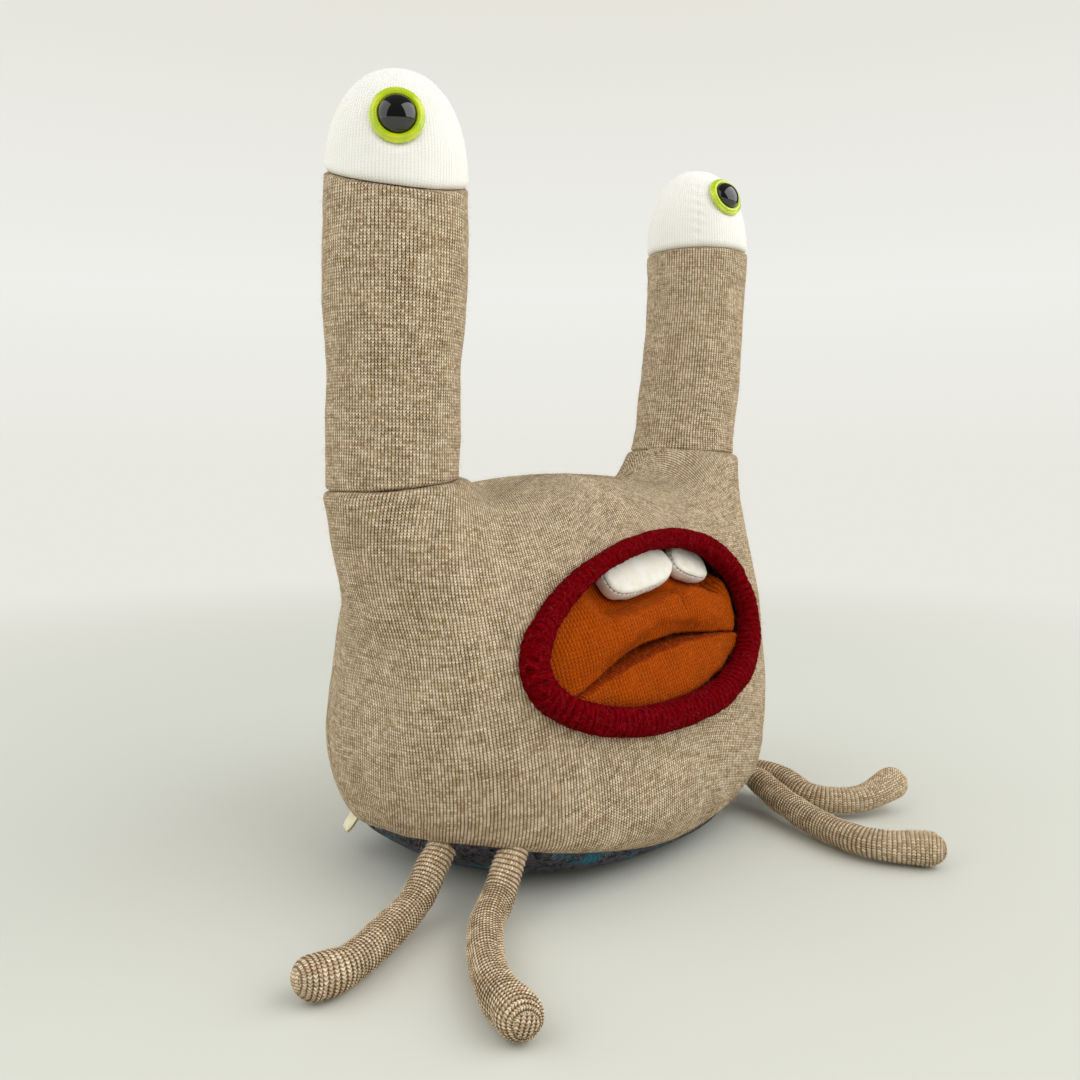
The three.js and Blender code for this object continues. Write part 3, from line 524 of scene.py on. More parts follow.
def bloom(name, mesh, material, count, length, seed, keep=None):
    """Loose fibres that stand off a fabric, as bent ribbons on places picked evenly over its surface.

    A real fibre is finer than these ribbons, which are as wide as they need to be to show."""
    mesh.calc_loop_triangles()
    corners = np.empty(len(mesh.loop_triangles) * 3, dtype=np.int32)
    mesh.loop_triangles.foreach_get("vertices", corners)
    triangles = corner_places(mesh)[corners].reshape(-1, 3, 3)
    if keep is not None:
        triangles = triangles[keep(triangles.mean(axis=1))]
    cross = np.cross(triangles[:, 1] - triangles[:, 0], triangles[:, 2] - triangles[:, 0])
    area = np.linalg.norm(cross, axis=1)
    pick = np.random.default_rng(seed)
    chosen = pick.choice(len(triangles), size=count, p=area / area.sum())
    a, b = pick.random((2, count, 1))
    a, b = np.where(a + b > 1, 1 - a, a), np.where(a + b > 1, 1 - b, b)
    roots = triangles[chosen, 0] + a * (triangles[chosen, 1] - triangles[chosen, 0]) + b * (
        triangles[chosen, 2] - triangles[chosen, 0])
    out = unit(cross[chosen])
    lie = unit(np.cross(out, pick.normal(size=(count, 3))))
    bend = unit(np.cross(out, pick.normal(size=(count, 3))))
    reach = length * pick.uniform(0.4, 1.3, (count, 1))
    stand = pick.uniform(0.2, 1.0, (count, 1))
    width = unit(np.cross(lie, out)) * FIBRE_HALF_WIDTH
    points = []
    for t in FIBRE_STEPS:
        rise = out * stand * (t - FIBRE_SAG * t * t)
        middle = roots + reach * (t * lie * FIBRE_RUN + rise + bend * FIBRE_CURL * t * t)
        narrow = 1 - FIBRE_TAPER * t
        points += [middle - width * narrow, middle + width * narrow]
    points = np.stack(points, axis=1)
    points[..., 2] = np.maximum(points[..., 2], FLOOR_GAP)
    start = (np.arange(count) * 8)[:, None]
    faces = np.concatenate([start + np.array([k, k + 1, k + 3, k + 2]) for k in (0, 2, 4)])
    fluff = bpy.data.meshes.new(name)
    fluff.from_pydata((points.reshape(-1, 3) * MM).tolist(), [], faces.tolist())
    fluff.materials.append(material)
    obj = put_in_scene(name, fluff)
    return obj


def tube(centres, tangents, radii, sides, layout_turn, upright=np.array([0.0, 0.0, 1.0])):
    """Rings of points about a line, and the fabric layout that runs along and round it."""
    side = unit(np.cross(upright, tangents))
    up = np.cross(tangents, side)
    angle = 2 * np.pi * np.arange(sides) / sides
    points = (centres[:, None] + radii[..., None] * (
        np.cos(angle)[None, :, None] * side[:, None] + np.sin(angle)[None, :, None] * up[:, None]))
    along = arc_lengths(centres, 0)
    round_it = layout_turn * np.arange(sides + 1) / sides
    layout = np.stack(np.meshgrid(along, round_it, indexing="ij"), axis=-1)
    return points, layout


# Materials

def add(tree, kind, inputs=None, **settings):
    """Adds a shader node with its settings and links, and returns its first output."""
    node = tree.nodes.new("ShaderNode" + kind)
    for key, value in settings.items():
        setattr(node, key, value)
    for key, value in (inputs or {}).items():
        if isinstance(value, bpy.types.NodeSocket):
            tree.links.new(value, node.inputs[key])
        else:
            node.inputs[key].default_value = value
    return node.outputs[0] if node.outputs else node


def blank(name):
    """A new material with an empty node tree."""
    material = bpy.data.materials.new(name)
    material.use_nodes = True
    material.node_tree.nodes.clear()
    return material, material.node_tree


def stitches(tree, wale, course, slant):
    """Plain knit: upright columns of V-shaped stitches.

    Gives the fabric's layout, the relief, and a cell for each stitch."""
    place = add(tree, "UVMap", uv_map="Knit")
    wander = add(tree, "TexNoise", {"Vector": place, "Scale": 140.0, "Detail": 1.0})
    axes = add(tree, "SeparateXYZ", {0: place}).node.outputs
    drift = add(tree, "Math", {0: wander, 1: wale * 0.35, 2: axes[0]}, operation="MULTIPLY_ADD")
    across = add(tree, "Math", {0: drift, 1: wale}, operation="DIVIDE")
    column = add(tree, "Math", {0: across}, operation="FRACT")
    off = add(tree, "Math", {0: column, 1: 0.5}, operation="SUBTRACT")
    leg = add(tree, "Math", {0: off}, operation="ABSOLUTE")
    along = add(tree, "Math", {0: axes[1], 1: course}, operation="DIVIDE")
    phase = add(tree, "Math", {0: leg, 1: -2 * slant, 2: along}, operation="MULTIPLY_ADD")
    row = add(tree, "Math", {0: phase}, operation="FRACT")
    # A strand is round along the stitch, and the column is open at its edges and dips in its middle
    row_turn = add(tree, "Math", {0: row, 1: math.pi}, operation="MULTIPLY")
    strand = add(tree, "Math", {0: row_turn}, operation="SINE")
    beads = add(tree, "Math", {0: strand, 1: 0.72, 2: 0.34}, operation="MULTIPLY_ADD")
    leg_turn = add(tree, "Math", {0: leg, 1: 1.24 * math.pi, 2: 0.38 * math.pi}, operation="MULTIPLY_ADD")
    arch = add(tree, "Math", {0: leg_turn}, operation="SINE")
    edge = add(tree, "Math", {0: arch, 1: 0.7, 2: 0.3}, operation="MULTIPLY_ADD")
    relief = add(tree, "Math", {0: beads, 1: edge}, operation="MULTIPLY")
    whole_column = add(tree, "Math", {0: across}, operation="FLOOR")
    whole_row = add(tree, "Math", {0: phase}, operation="FLOOR")
    cell = add(tree, "CombineXYZ", {0: whole_column, 1: whole_row})
    return place, relief, cell


def wool_knit(name, yarn, fleck, gap, wale, course, slant=0.8, streaks=0.9, relief=0.5, sheen=0.06,
              painted_crease_shade=None):
    """Wool jersey: plied yarn with paler and darker stitches, dark painted shade in the gaps between the
    columns that thins in patches where matted fibre fills them, and a soft bloom. The crease colour, if
    given, is painted shade in a crease, laid on where its Crease attribute is high."""
    found = bpy.data.materials.get(name)
    if found:
        return found
    material, tree = blank(name)
    place, height, cell = stitches(tree, wale, course, slant)
    mark = add(tree, "TexWhiteNoise", {"Vector": cell}, noise_dimensions="2D")
    stretch = add(tree, "Mapping", {"Vector": place, "Scale": (80.0, 600.0, 1.0)})
    band = add(tree, "TexNoise", {"Vector": stretch, "Scale": 1.0, "Detail": 2.0})
    tone = add(tree, "Math", {0: band, 1: streaks, 2: -streaks / 2}, operation="MULTIPLY_ADD")
    fibres = add(tree, "TexNoise", {"Vector": place, "Scale": 1100.0, "Detail": 2.0})
    speck = add(tree, "Math", {0: mark, 1: 0.4, 2: tone}, operation="MULTIPLY_ADD")
    mottle = add(tree, "Math", {0: fibres, 1: 1.2, 2: speck}, operation="MULTIPLY_ADD")
    share = add(tree, "MapRange", {"Value": mottle, "From Min": 0.48, "From Max": 1.14})
    wool = add(tree, "MixRGB", {"Fac": share, "Color1": (*yarn, 1), "Color2": (*fleck, 1)})
    matted = add(tree, "TexNoise", {"Vector": place, "Scale": 75.0, "Detail": 2.0})
    caught = add(tree, "Math", {0: matted, 1: 0.3, 2: height}, operation="MULTIPLY_ADD")
    filled = add(tree, "Math", {0: fibres, 1: 0.5, 2: caught}, operation="MULTIPLY_ADD")
    # Painted shade: where the stitch relief is low, in the gaps between columns and rows, the colour darkens
    # towards the gap colour
    shade = add(tree, "MapRange", {"Value": filled, "From Min": 0.7, "From Max": 1.22})
    colour = add(tree, "MixRGB", {"Fac": shade, "Color1": (*gap, 1), "Color2": wool})
    # Painted shade in the crease between the lobes, laid on where the Crease attribute is high, its edge made
    # ragged by the fibre noise
    if painted_crease_shade:
        crease = add(tree, "Attribute", attribute_name="Crease").node.outputs["Fac"]
        ragged_crease_shade = add(tree, "Math", {0: fibres, 1: 1.1, 2: crease}, operation="MULTIPLY_ADD")
        reach = add(tree, "MapRange", {"Value": ragged_crease_shade, "From Min": 1.0, "From Max": 1.8})
        colour = add(tree, "MixRGB", {"Fac": reach, "Color1": colour, "Color2": (*painted_crease_shade, 1)})
    bump = add(tree, "Bump", {"Height": height, "Strength": 0.9, "Distance": relief * MM})
    surface = add(tree, "BsdfPrincipled", {
        "Base Color": colour, "Normal": bump, "Roughness": 0.95, "Specular IOR Level": 0.04,
        "Sheen Weight": sheen, "Sheen Roughness": 0.5, "Sheen Tint": (*yarn, 1)})
    add(tree, "OutputMaterial", {"Surface": surface})
    return material


def ribbed_wool(name, yarn, dark, rib, sheen):
    """Brushed rib knit: ridges across the tube, blurred by a thick bloom of fibres. Its dark colour comes in
    as random fibre tone and, along the ribs, as painted shade in their hollows.
    """
    material, tree = blank(name)
    place = add(tree, "UVMap", uv_map="Knit")
    axes = add(tree, "SeparateXYZ", {0: place}).node.outputs
    fibres = add(tree, "Mapping", {"Vector": place, "Scale": (900.0, 260.0, 1.0)})
    fluff = add(tree, "TexNoise", {"Vector": fibres, "Scale": 1.0, "Detail": 3.0})
    wander = add(tree, "TexNoise", {"Vector": place, "Scale": 90.0, "Detail": 1.0})
    shift = add(tree, "Math", {0: wander, 1: rib * 1.9, 2: axes[0]}, operation="MULTIPLY_ADD")
    turn = add(tree, "Math", {0: shift, 1: 2 * math.pi / rib}, operation="MULTIPLY")
    wave = add(tree, "Math", {0: turn}, operation="SINE")
    ridge = add(tree, "Math", {0: wave, 1: 0.1, 2: fluff}, operation="MULTIPLY_ADD")
    # Partly random fibre tone, partly painted shade: the hollows between the ribs darken towards the dark
    # colour
    share = add(tree, "MapRange", {"Value": ridge, "From Min": 0.25, "From Max": 0.8})
    colour = add(tree, "MixRGB", {"Fac": share, "Color1": (*dark, 1), "Color2": (*yarn, 1)})
    bump = add(tree, "Bump", {"Height": ridge, "Strength": 0.8, "Distance": 0.6 * MM})
    surface = add(tree, "BsdfPrincipled", {
        "Base Color": colour, "Normal": bump, "Roughness": 0.98, "Specular IOR Level": 0.02,
        "Sheen Weight": sheen, "Sheen Roughness": 0.45, "Sheen Tint": (*yarn, 1)})
    add(tree, "OutputMaterial", {"Surface": surface})
    return material


def tweed_cloth(name, ground, dark, heather, teal):
    """Woven wool tweed: flecked twill of dark and mauve-grey yarns with teal patches."""
    material, tree = blank(name)
    place = add(tree, "TexCoord").node.outputs["Object"]
    slub = add(tree, "TexNoise", {"Vector": place, "Scale": 430.0, "Detail": 3.0})
    patch = add(tree, "TexNoise", {"Vector": place, "Scale": 75.0, "Detail": 4.0})
    weave = add(tree, "TexWave", {"Vector": place, "Scale": 420.0, "Distortion": 3.0, "Detail": 1.0},
                bands_direction="DIAGONAL")
    light = add(tree, "MapRange", {"Value": slub, "From Min": 0.42, "From Max": 0.6})
    wool = add(tree, "MixRGB", {"Fac": light, "Color1": (*dark, 1), "Color2": (*ground, 1)})
    mauve_noise = add(tree, "TexNoise", {"Vector": place, "Scale": 210.0, "Detail": 2.0})
    mauve = add(tree, "MapRange", {"Value": mauve_noise, "From Min": 0.48, "From Max": 0.56})
    mixed = add(tree, "MixRGB", {"Fac": mauve, "Color1": wool, "Color2": (*heather, 1)})
    spot = add(tree, "MapRange", {"Value": patch, "From Min": 0.56, "From Max": 0.66})
    coloured = add(tree, "MixRGB", {"Fac": spot, "Color1": mixed, "Color2": (*teal, 1)})
    shade = add(tree, "MapRange", {"Value": weave, "To Min": 0.55, "To Max": 1.0})
    colour = add(tree, "MixRGB", {"Fac": 1.0, "Color1": coloured, "Color2": shade}, blend_type="MULTIPLY")
    bump = add(tree, "Bump", {"Height": slub, "Strength": 0.7, "Distance": 0.5 * MM})
    surface = add(tree, "BsdfPrincipled", {
        "Base Color": colour, "Normal": bump, "Roughness": 0.95, "Specular IOR Level": 0.15,
        "Sheen Weight": 0.05})
    add(tree, "OutputMaterial", {"Surface": surface})
    return material


def loose_wool(name, colour, tip):
    """Single wool fibres, matt, in a mix of two tones."""
    found = bpy.data.materials.get(name)
    if found:
        return found
    material, tree = blank(name)
    place = add(tree, "TexCoord").node.outputs["Object"]
    shade = add(tree, "TexNoise", {"Vector": place, "Scale": 300.0, "Detail": 0.0})
    mixed = add(tree, "MixRGB", {"Fac": shade, "Color1": (*colour, 1), "Color2": (*tip, 1)})
    surface = add(tree, "BsdfPrincipled", {
        "Base Color": mixed, "Roughness": 0.7, "Specular IOR Level": 0.2})
    add(tree, "OutputMaterial", {"Surface": surface})
    return material


def felt(name, pale, shade_colour):
    """Matted fibres, faintly clouded: the teeth's pressed felt, their thread and the tag's cotton tape."""
    material, tree = blank(name)
    place = add(tree, "TexCoord").node.outputs["Object"]
    fibre = add(tree, "TexNoise", {"Vector": place, "Scale": 900.0, "Detail": 4.0})
    cloud = add(tree, "TexNoise", {"Vector": place, "Scale": 160.0, "Detail": 2.0})
    share = add(tree, "MapRange", {"Value": cloud, "From Min": 0.35, "From Max": 0.7})
    colour = add(tree, "MixRGB", {"Fac": share, "Color1": (*pale, 1), "Color2": (*shade_colour, 1)})
    bump = add(tree, "Bump", {"Height": fibre, "Strength": 0.5, "Distance": 0.4 * MM})
    surface = add(tree, "BsdfPrincipled", {
        "Base Color": colour, "Normal": bump, "Roughness": 0.9, "Specular IOR Level": 0.2,
        "Sheen Weight": 0.25})
    add(tree, "OutputMaterial", {"Surface": surface})
    return material


def moulded_plastic(name, colour, edge, roughness):
    """Glossy moulded plastic, its colour very faintly clouded."""
    material, tree = blank(name)
    place = add(tree, "TexCoord").node.outputs["Object"]
    haze = add(tree, "TexNoise", {"Vector": place, "Scale": 180.0, "Detail": 2.0})
    share = add(tree, "MapRange", {"Value": haze, "From Min": 0.3, "From Max": 0.75})
    mixed = add(tree, "MixRGB", {"Fac": share, "Color1": (*colour, 1), "Color2": (*edge, 1)})
    surface = add(tree, "BsdfPrincipled", {
        "Base Color": mixed, "Roughness": roughness, "IOR": 1.49, "Coat Weight": 0.9,
        "Coat Roughness": 0.05})
    add(tree, "OutputMaterial", {"Surface": surface})
    return material


# Sizes and colours that a user would change

def colour_setting(name, words, code):
    """A colour that the panel shows, from its sRGB hex value."""
    return bpy.props.FloatVectorProperty(
        name=name, description=words, subtype="COLOR", size=3, min=0, max=1, default=linear(code))


class MonsterColours(bpy.types.PropertyGroup):
    """Colours of the monster's fabrics and plastics."""
    yarn: colour_setting("Beige yarn", "Paler stitches of the body's wool", "#ffeccb")
    fleck: colour_setting("Brown fleck", "Darker stitches of the body's wool", "#b08f66")
    gap: colour_setting("Between stitches", "Shadow between the body's stitches", "#2e2009")
    lip: colour_setting("Lip", "Red rib of the lip", "#7c0109")
    # Painted shade in the hollows between the lip's ribs, mixed with random fibre tone
    lip_dark: colour_setting("Lip hollows", "Between the ribs of the lip", "#3c0003")
    lobe: colour_setting("Mouth lining", "Orange wool of the lining", "#b64f04")
    # Painted shade between the lining's stitches
    lobe_dark: colour_setting("Mouth lining hollows", "Between the lining's stitches", "#7a2c02")
    white: colour_setting("White wool", "Caps of the eyestalks", "#f0efe8")
    # Painted shade between the caps' stitches
    white_dark: colour_setting("White wool hollows", "Between the caps' stitches", "#dedcd2")
    tooth: colour_setting("Teeth", "Felt of the teeth", "#e8e6dd")
    rim: colour_setting("Eye rim", "Lime plastic round the eyes", "#d0da02")
    pupil: colour_setting("Pupil", "Black plastic of the pupils", "#0a0a0a")
    tag: colour_setting("Tag", "Folded tape in the base seam", "#ece6c6")
    floor: colour_setting("Floor", "Paper under the monster", "#c8c9bf")


class MonsterSizes(bpy.types.PropertyGroup):
    """Sizes of the monster's fabrics."""
    wale: bpy.props.FloatProperty(
        name="Stitch width", description="Width of one column of the body's knit",
        default=WALE * MM, min=0.5 * MM, max=6 * MM, unit="LENGTH", precision=5)
    course: bpy.props.FloatProperty(
        name="Stitch height", description="Height of one row of the body's knit",
        default=COURSE * MM, min=0.5 * MM, max=6 * MM, unit="LENGTH", precision=5)
    leg_rib: bpy.props.FloatProperty(
        name="Leg rib", description="Distance between the ribs of the legs",
        default=2.1 * MM, min=1 * MM, max=6 * MM, unit="LENGTH", precision=5)
    lip_rib: bpy.props.FloatProperty(
        name="Lip rib", description="Distance between the ribs of the lip",
        default=3.9 * MM, min=1 * MM, max=8 * MM, unit="LENGTH", precision=5)


def beige_wool(scene):
    """The body's heather jersey, made once and shared."""
    colours, sizes = scene.monster_colours, scene.monster_sizes
    return wool_knit(
        "Heather wool jersey", colours.yarn, colours.fleck, colours.gap, sizes.wale, sizes.course)


def loose_beige_wool():
    """The fibres that stand off the body's wool."""
    return loose_wool("Loose beige wool", linear("#c9b48c"), linear("#efe4c8"))


def white_wool(scene):
    """The caps' white jersey, made once and shared."""
    colours, sizes = scene.monster_colours, scene.monster_sizes
    return wool_knit("White wool jersey", colours.white, colours.white, colours.white_dark,
                     sizes.wale, sizes.course, streaks=0.1, relief=0.12, sheen=0.08)


# Body

AROUND = 320
ROWS_UNDER = 12
ROWS_BELOW = 60
ROWS_ABOVE = 150
# The mouth's opening is cut in what lies in front of this depth
MOUTH_BACK = -20
# How far the knit runs in under a stalk, and how far below the stalk's seam it is cut away
STALK_TUCK = 4.5
STALK_TUCK_DEPTH = 8
# Gathers round the lip: how many, how deep, and how far past the lip's line they start to fade
GATHERS = 46
GATHER_DEPTH = 0.22
GATHERS_START = 6
GATHERS_FADE = 7


def base_seam():
    """A point on the base seam's tilted level, and the way that the level faces."""
    tilt = math.radians(BASE_SEAM_TILT)
    return np.array([0, 0, BASE_SEAM_HEIGHT]), np.array([math.sin(tilt), 0, math.cos(tilt)])


def base_seam_shift(x, y):
    """How far the base seam rises where the right legs are sewn in, and dips beside them."""
    turn = np.degrees(np.arctan2(y, x)) % 360
    return sum(bell(turn - azimuth, rise, reach) for rise, azimuth, reach in BASE_SEAM_SHIFTS)


def side_seam_shift(z):
    """How far forwards the side seams run at their feet."""
    return SIDE_SEAM_SWEEP * (1 - smooth_step(z, *SIDE_SEAM_BEND))


def cut_along(mesh, axis, shift, point, normal):
    """Cuts cloth along a curved seam: takes the curve out of it, cuts it flat and puts the curve back."""
    for way in (-1, 1):
        places = corner_places(mesh)
        places[:, axis] += way * shift(places)
        move_points(mesh, places)
        if way == -1:
            cut(mesh, point, normal)


def cut_at_base_seam(mesh, side):
    """Keeps the cloth above the base seam, side 1, or below it, side -1."""
    start, up = base_seam()
    cut_along(mesh, 2, lambda at: base_seam_shift(at[:, 0], at[:, 1]),
              start + up * BASE_SEAM_GAP * side, up * side)


def cut_at_side_seam(mesh, side):
    """Keeps the cloth in front of the side seams, side -1, or behind them, side 1."""
    cut_along(mesh, 1, lambda at: -side_seam_shift(at[:, 2]),
              (0, SIDE_SEAM_DEPTH + SIDE_SEAM_GAP * side, 0), (0, side, 0))


def body_points():
    """Rows of points on the stuffed body from the middle of its underside to its ridge.

    The columns start at the middle of the back and crowd towards the sides."""
    even = math.pi / 2 + 2 * np.pi * np.arange(AROUND) / AROUND
    turn = even - 0.25 * np.sin(2 * even)
    level = np.stack([np.cos(turn), np.sin(turn), np.zeros_like(turn)], axis=-1)
    # The rows crowd towards the floor, and again halfway up to the ridge, where the shoulders turn
    share = np.arange(ROWS_BELOW) / ROWS_BELOW
    heights = HEART[2] * share**1.35
    origins = [np.stack([np.zeros(AROUND), np.zeros(AROUND), np.full(AROUND, h)], -1) for h in heights]
    directions = [level] * ROWS_BELOW
    for share in np.arange(ROWS_ABOVE) / ROWS_ABOVE:
        elevation = (math.pi / 2) * (share + 0.5 * math.sin(2 * math.pi * share) / (2 * math.pi)) * 0.995
        origins.append(np.broadcast_to(HEART, (AROUND, 3)))
        directions.append(level * math.cos(elevation) + np.array([0, 0, math.sin(elevation)]))
    origins, directions = np.array(origins), np.array(directions)
    reach = body_reach(origins, directions)
    points = origins + directions * reach[..., None]

    # The stuffing is uneven, and each seam draws the fabric in
    press = lumps(points, 34, 0.55, 3) + lumps(points, 12, 0.12, 4)
    start, up = base_seam()
    over = points - start
    over[..., 2] -= base_seam_shift(points[..., 0], points[..., 1])
    press += bell(over @ up, *BASE_GROOVE)
    x, y, z = points[..., 0], points[..., 1], points[..., 2]
    press += bell(y + side_seam_shift(z) - SIDE_SEAM_DEPTH, *SIDE_GROOVE) * (z > 12)
    past_lip = (oval_share(x, z) - 1) * MOUTH["half_height"]
    along, rise = from_mouth(x, z)
    fade = np.exp(-np.clip(past_lip - GATHERS_START, 0, 60) / GATHERS_FADE)
    gathers = np.sin(np.arctan2(rise * 2, along) * GATHERS) * fade
    press += np.where((y < 0) & (past_lip > 0), GATHER_DEPTH * gathers, 0)
    points = origins + directions * (reach - press)[..., None]
    points[0, :, 2] = 0
    under = np.linspace(0.04, 0.97, ROWS_UNDER)[:, None, None] * points[0] * np.array([1, 1, 0])
    return np.concatenate([under, points])


def knit_layout(points, centre):
    """Flat layout of the body's knit: across from the middle line in column centre, and up from the floor."""
    closed = np.concatenate([points, points[:, :1]], axis=1)
    across = arc_lengths(closed, 1)
    across = across - across[:, centre:centre + 1]
    up = arc_lengths(closed, 0)
    return np.stack([across, up], axis=-1)


def under_a_stalk_or_lip(middles):
    """Faces of the body that the mouth's opening or a stalk's foot takes out."""
    gone = (oval_share(middles[:, 0], middles[:, 2]) < 1.0) & (middles[:, 1] < MOUTH_BACK)
    for stalk in STALKS.values():
        top = np.array([stalk["x"], 0, stalk["seam"]])
        away = np.hypot(middles[:, 0] - stalk["x"], middles[:, 1])
        under = (middles - top) @ seam_up(stalk) > -STALK_TUCK_DEPTH
        gone |= (away < stalk["radius"] - STALK_TUCK) & under
    return gone


class MONSTER_OT_body(bpy.types.Operator):
    """Sews the knitted front and back and the tweed base"""
    bl_idname = "monster.body"
    bl_label = "Body"

    def execute(self, context):
        scene = context.scene
        points = body_points()
        half = AROUND // 2
        turned_round = np.roll(points, -half, axis=1)
        front = skin("front_knit", points, knit_layout(points, half), drop=under_a_stalk_or_lip)
        cut_at_base_seam(front, 1)
        cut_at_side_seam(front, -1)
        back = skin("back_knit", turned_round, knit_layout(turned_round, half), drop=under_a_stalk_or_lip)
        cut_at_base_seam(back, 1)
        cut_at_side_seam(back, 1)
        base = skin("tweed_base", points, knit_layout(points, half))
        cut_at_base_seam(base, -1)
        wool = beige_wool(scene)
        dress("front_knit", front, wool, ["body_front", "body_stuffing"], "body")
        dress("back_knit", back, wool, ["body_back"], "body")
        tweed = tweed_cloth(
            "Wool tweed", linear("#4a5054"), linear("#060709"), linear("#4a434e"), linear("#17667a"))
        dress("tweed_base", base, tweed, ["base_panel"], "body")
        for mesh, count in ((front, 11000), (back, 5000)):
            fluff = bloom(f"{mesh.name}_bloom", mesh, loose_beige_wool(), count, 4.2, count)
            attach(fluff, "body")
        return {"FINISHED"}


# Eyestalks

STALK_SIDES = 180
STALK_ROWS = 90
CAP_ROWS = 60
FLARE_HEIGHT = 16
# The cap's own seam, in degrees round the stalk, on the side that faces the mouth
CAP_JOIN = {"right": 324, "left": 216}
EYE_DENT = (11.5, 16)


def plane_heights(stalk, turn, point, normal):
    """Heights above the root where a plane cuts the stalk, by turn, in the stalk's own frame."""
    heights = np.full_like(turn, point[2])
    for _ in range(6):
        radius = stalk_radius(stalk, heights)
        x = radius * np.cos(turn) + bow_at(stalk, heights)
        y = radius * np.sin(turn)
        heights = point[2] - ((x - point[0]) * normal[0] + (y - point[1]) * normal[1]) / normal[2]
    return heights


def stalk_seams(stalk, turn):
    """Heights of the body seam and the cap seam round a stalk, in its own frame."""
    frame_turn, root = stalk_frame(stalk)
    low_point = frame_turn.T @ (np.array([stalk["x"], 0, stalk["seam"]]) - root)
    low = plane_heights(stalk, turn, low_point, frame_turn.T @ seam_up(stalk))
    cap_up = turned(*stalk["cap_tilt"], 0) @ np.array([0, 0, 1.0])
    high = plane_heights(stalk, turn, np.array([0, 0, stalk["cap_seam"] - root[2]]), cap_up)
    return low, high


def stalk_skin(name, side, turn, heights, tuck_low, tuck_high, seed, cap=False):
    """A closed skin round a stalk over rows of heights, its ends rolled in.

    cap gives it the cap's seam and the eye's dent in place of the flare at the stalk's foot."""
    stalk = STALKS[side]
    radius = stalk_radius(stalk, heights)
    edge_low, edge_high = heights - heights[:1], heights[-1:] - heights
    if not cap:
        inner = np.clip(-np.cos(turn) * math.copysign(1, stalk["x"]), 0, 1)
        radius = radius + stalk["flare"] * inner * np.clip(1 - edge_low / FLARE_HEIGHT, 0, 1) ** 2
    for edge, roll in ((edge_low, tuck_low), (edge_high, tuck_high)):
        if roll:
            short = np.clip(1 - edge / roll, 0, 1)
            radius = radius - roll * (1 - np.sqrt(1 - short**2))
    points = np.stack([radius * np.cos(turn) + bow_at(stalk, heights), radius * np.sin(turn), heights], -1)
    outwards = np.stack([np.cos(turn), np.sin(turn), np.zeros_like(turn)], -1)[None]
    points = points + outwards * (lumps(points, 30, 0.4, seed) + lumps(points, 9, 0.1, seed + 1))[..., None]
    if cap:
        # A groove along the cap's seam, with small puckers across it
        seam = math.radians(CAP_JOIN[side])
        off = stalk["radius"] * np.arcsin(np.clip(np.sin((turn - seam) / 2), -1, 1)) * 2
        pulled = bell(off, 0.5, 0.9) + bell(off, 0.3, 5) * np.sin(heights * 1.1 + off * 0.3)
        fade = smooth_step(stalk["top"] - root_of(stalk)[2] - heights, 8, 20)
        points = points - outwards * (pulled * fade)[..., None]
        # The eye is pulled tight against the cap
        seat, normal = eye_place(stalk)
        proud = (points - seat) @ normal
        away = np.linalg.norm(points - seat - proud[..., None] * normal, axis=-1)
        press = np.clip(proud + 0.15, 0, None) * (1 - smooth_step(away, *EYE_DENT)) * (proud > -6)
        points = points - normal * press[..., None]
    closed = np.concatenate([points, points[:, :1]], axis=1)
    up = arc_lengths(closed, 0) + np.concatenate([heights[0], heights[0][:1]])[None]
    girth = round(2 * math.pi * stalk["radius"] / WALE) * WALE
    across = np.broadcast_to(girth * np.arange(STALK_SIDES + 1) / STALK_SIDES, up.shape)
    frame_turn, root = stalk_frame(stalk)
    return skin(name, points @ frame_turn.T + root, np.stack([across, up], -1))


class MONSTER_OT_stalks(bpy.types.Operator):
    """Sews the knitted eyestalks and their white caps"""
    bl_idname = "monster.stalks"
    bl_label = "Eyestalks"

    def execute(self, context):
        scene = context.scene
        turn = 2 * np.pi * np.arange(STALK_SIDES) / STALK_SIDES + math.pi / 2
        for number, (side, stalk) in enumerate(STALKS.items()):
            low, high = stalk_seams(stalk, turn)
            top = stalk["top"] - root_of(stalk)[2]
            # The rows crowd a little towards both ends
            even = np.linspace(0, 1, STALK_ROWS)
            shares = 0.35 * (1 - np.cos(np.pi * even)) / 2 + 0.65 * even
            heights = low + 0.2 + (high - low - 0.5) * shares[:, None]
            cover = stalk_skin(f"stalk_knit_{side}", side, turn, heights, 2.2, 1.6, 20 + number)
            obj = dress(cover.name, cover, beige_wool(scene),
                        [f"eyestalk_cover_{side}", f"eyestalk_stuffing_{side}"])
            fluff = bloom(
                f"stalk_bloom_{side}", cover, loose_beige_wool(), 4600, 4.0, 60 + number)
            for soft in (obj, fluff):
                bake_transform(soft)
            shares = np.sin((np.pi / 2) * np.linspace(0, 1, CAP_ROWS) ** 0.9) * 0.9995
            heights = high + 0.3 + (top - high - 0.3) * shares[:, None]
            cap = stalk_skin(f"cap_{side}", side, turn, heights, 1.4, 0, 30 + number, cap=True)
            dress(cap.name, cap, white_wool(scene), [f"eyestalk_cap_{side}"],
                  f"eyestalk_{side}")
            pale = loose_wool("Loose white wool", linear("#f2f0e6"), linear("#ffffff"))
            fluff = bloom(f"cap_bloom_{side}", cap, pale, 900, 2.6, 70 + number)
            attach(fluff, f"eyestalk_{side}")
        return {"FINISHED"}


# Eyes

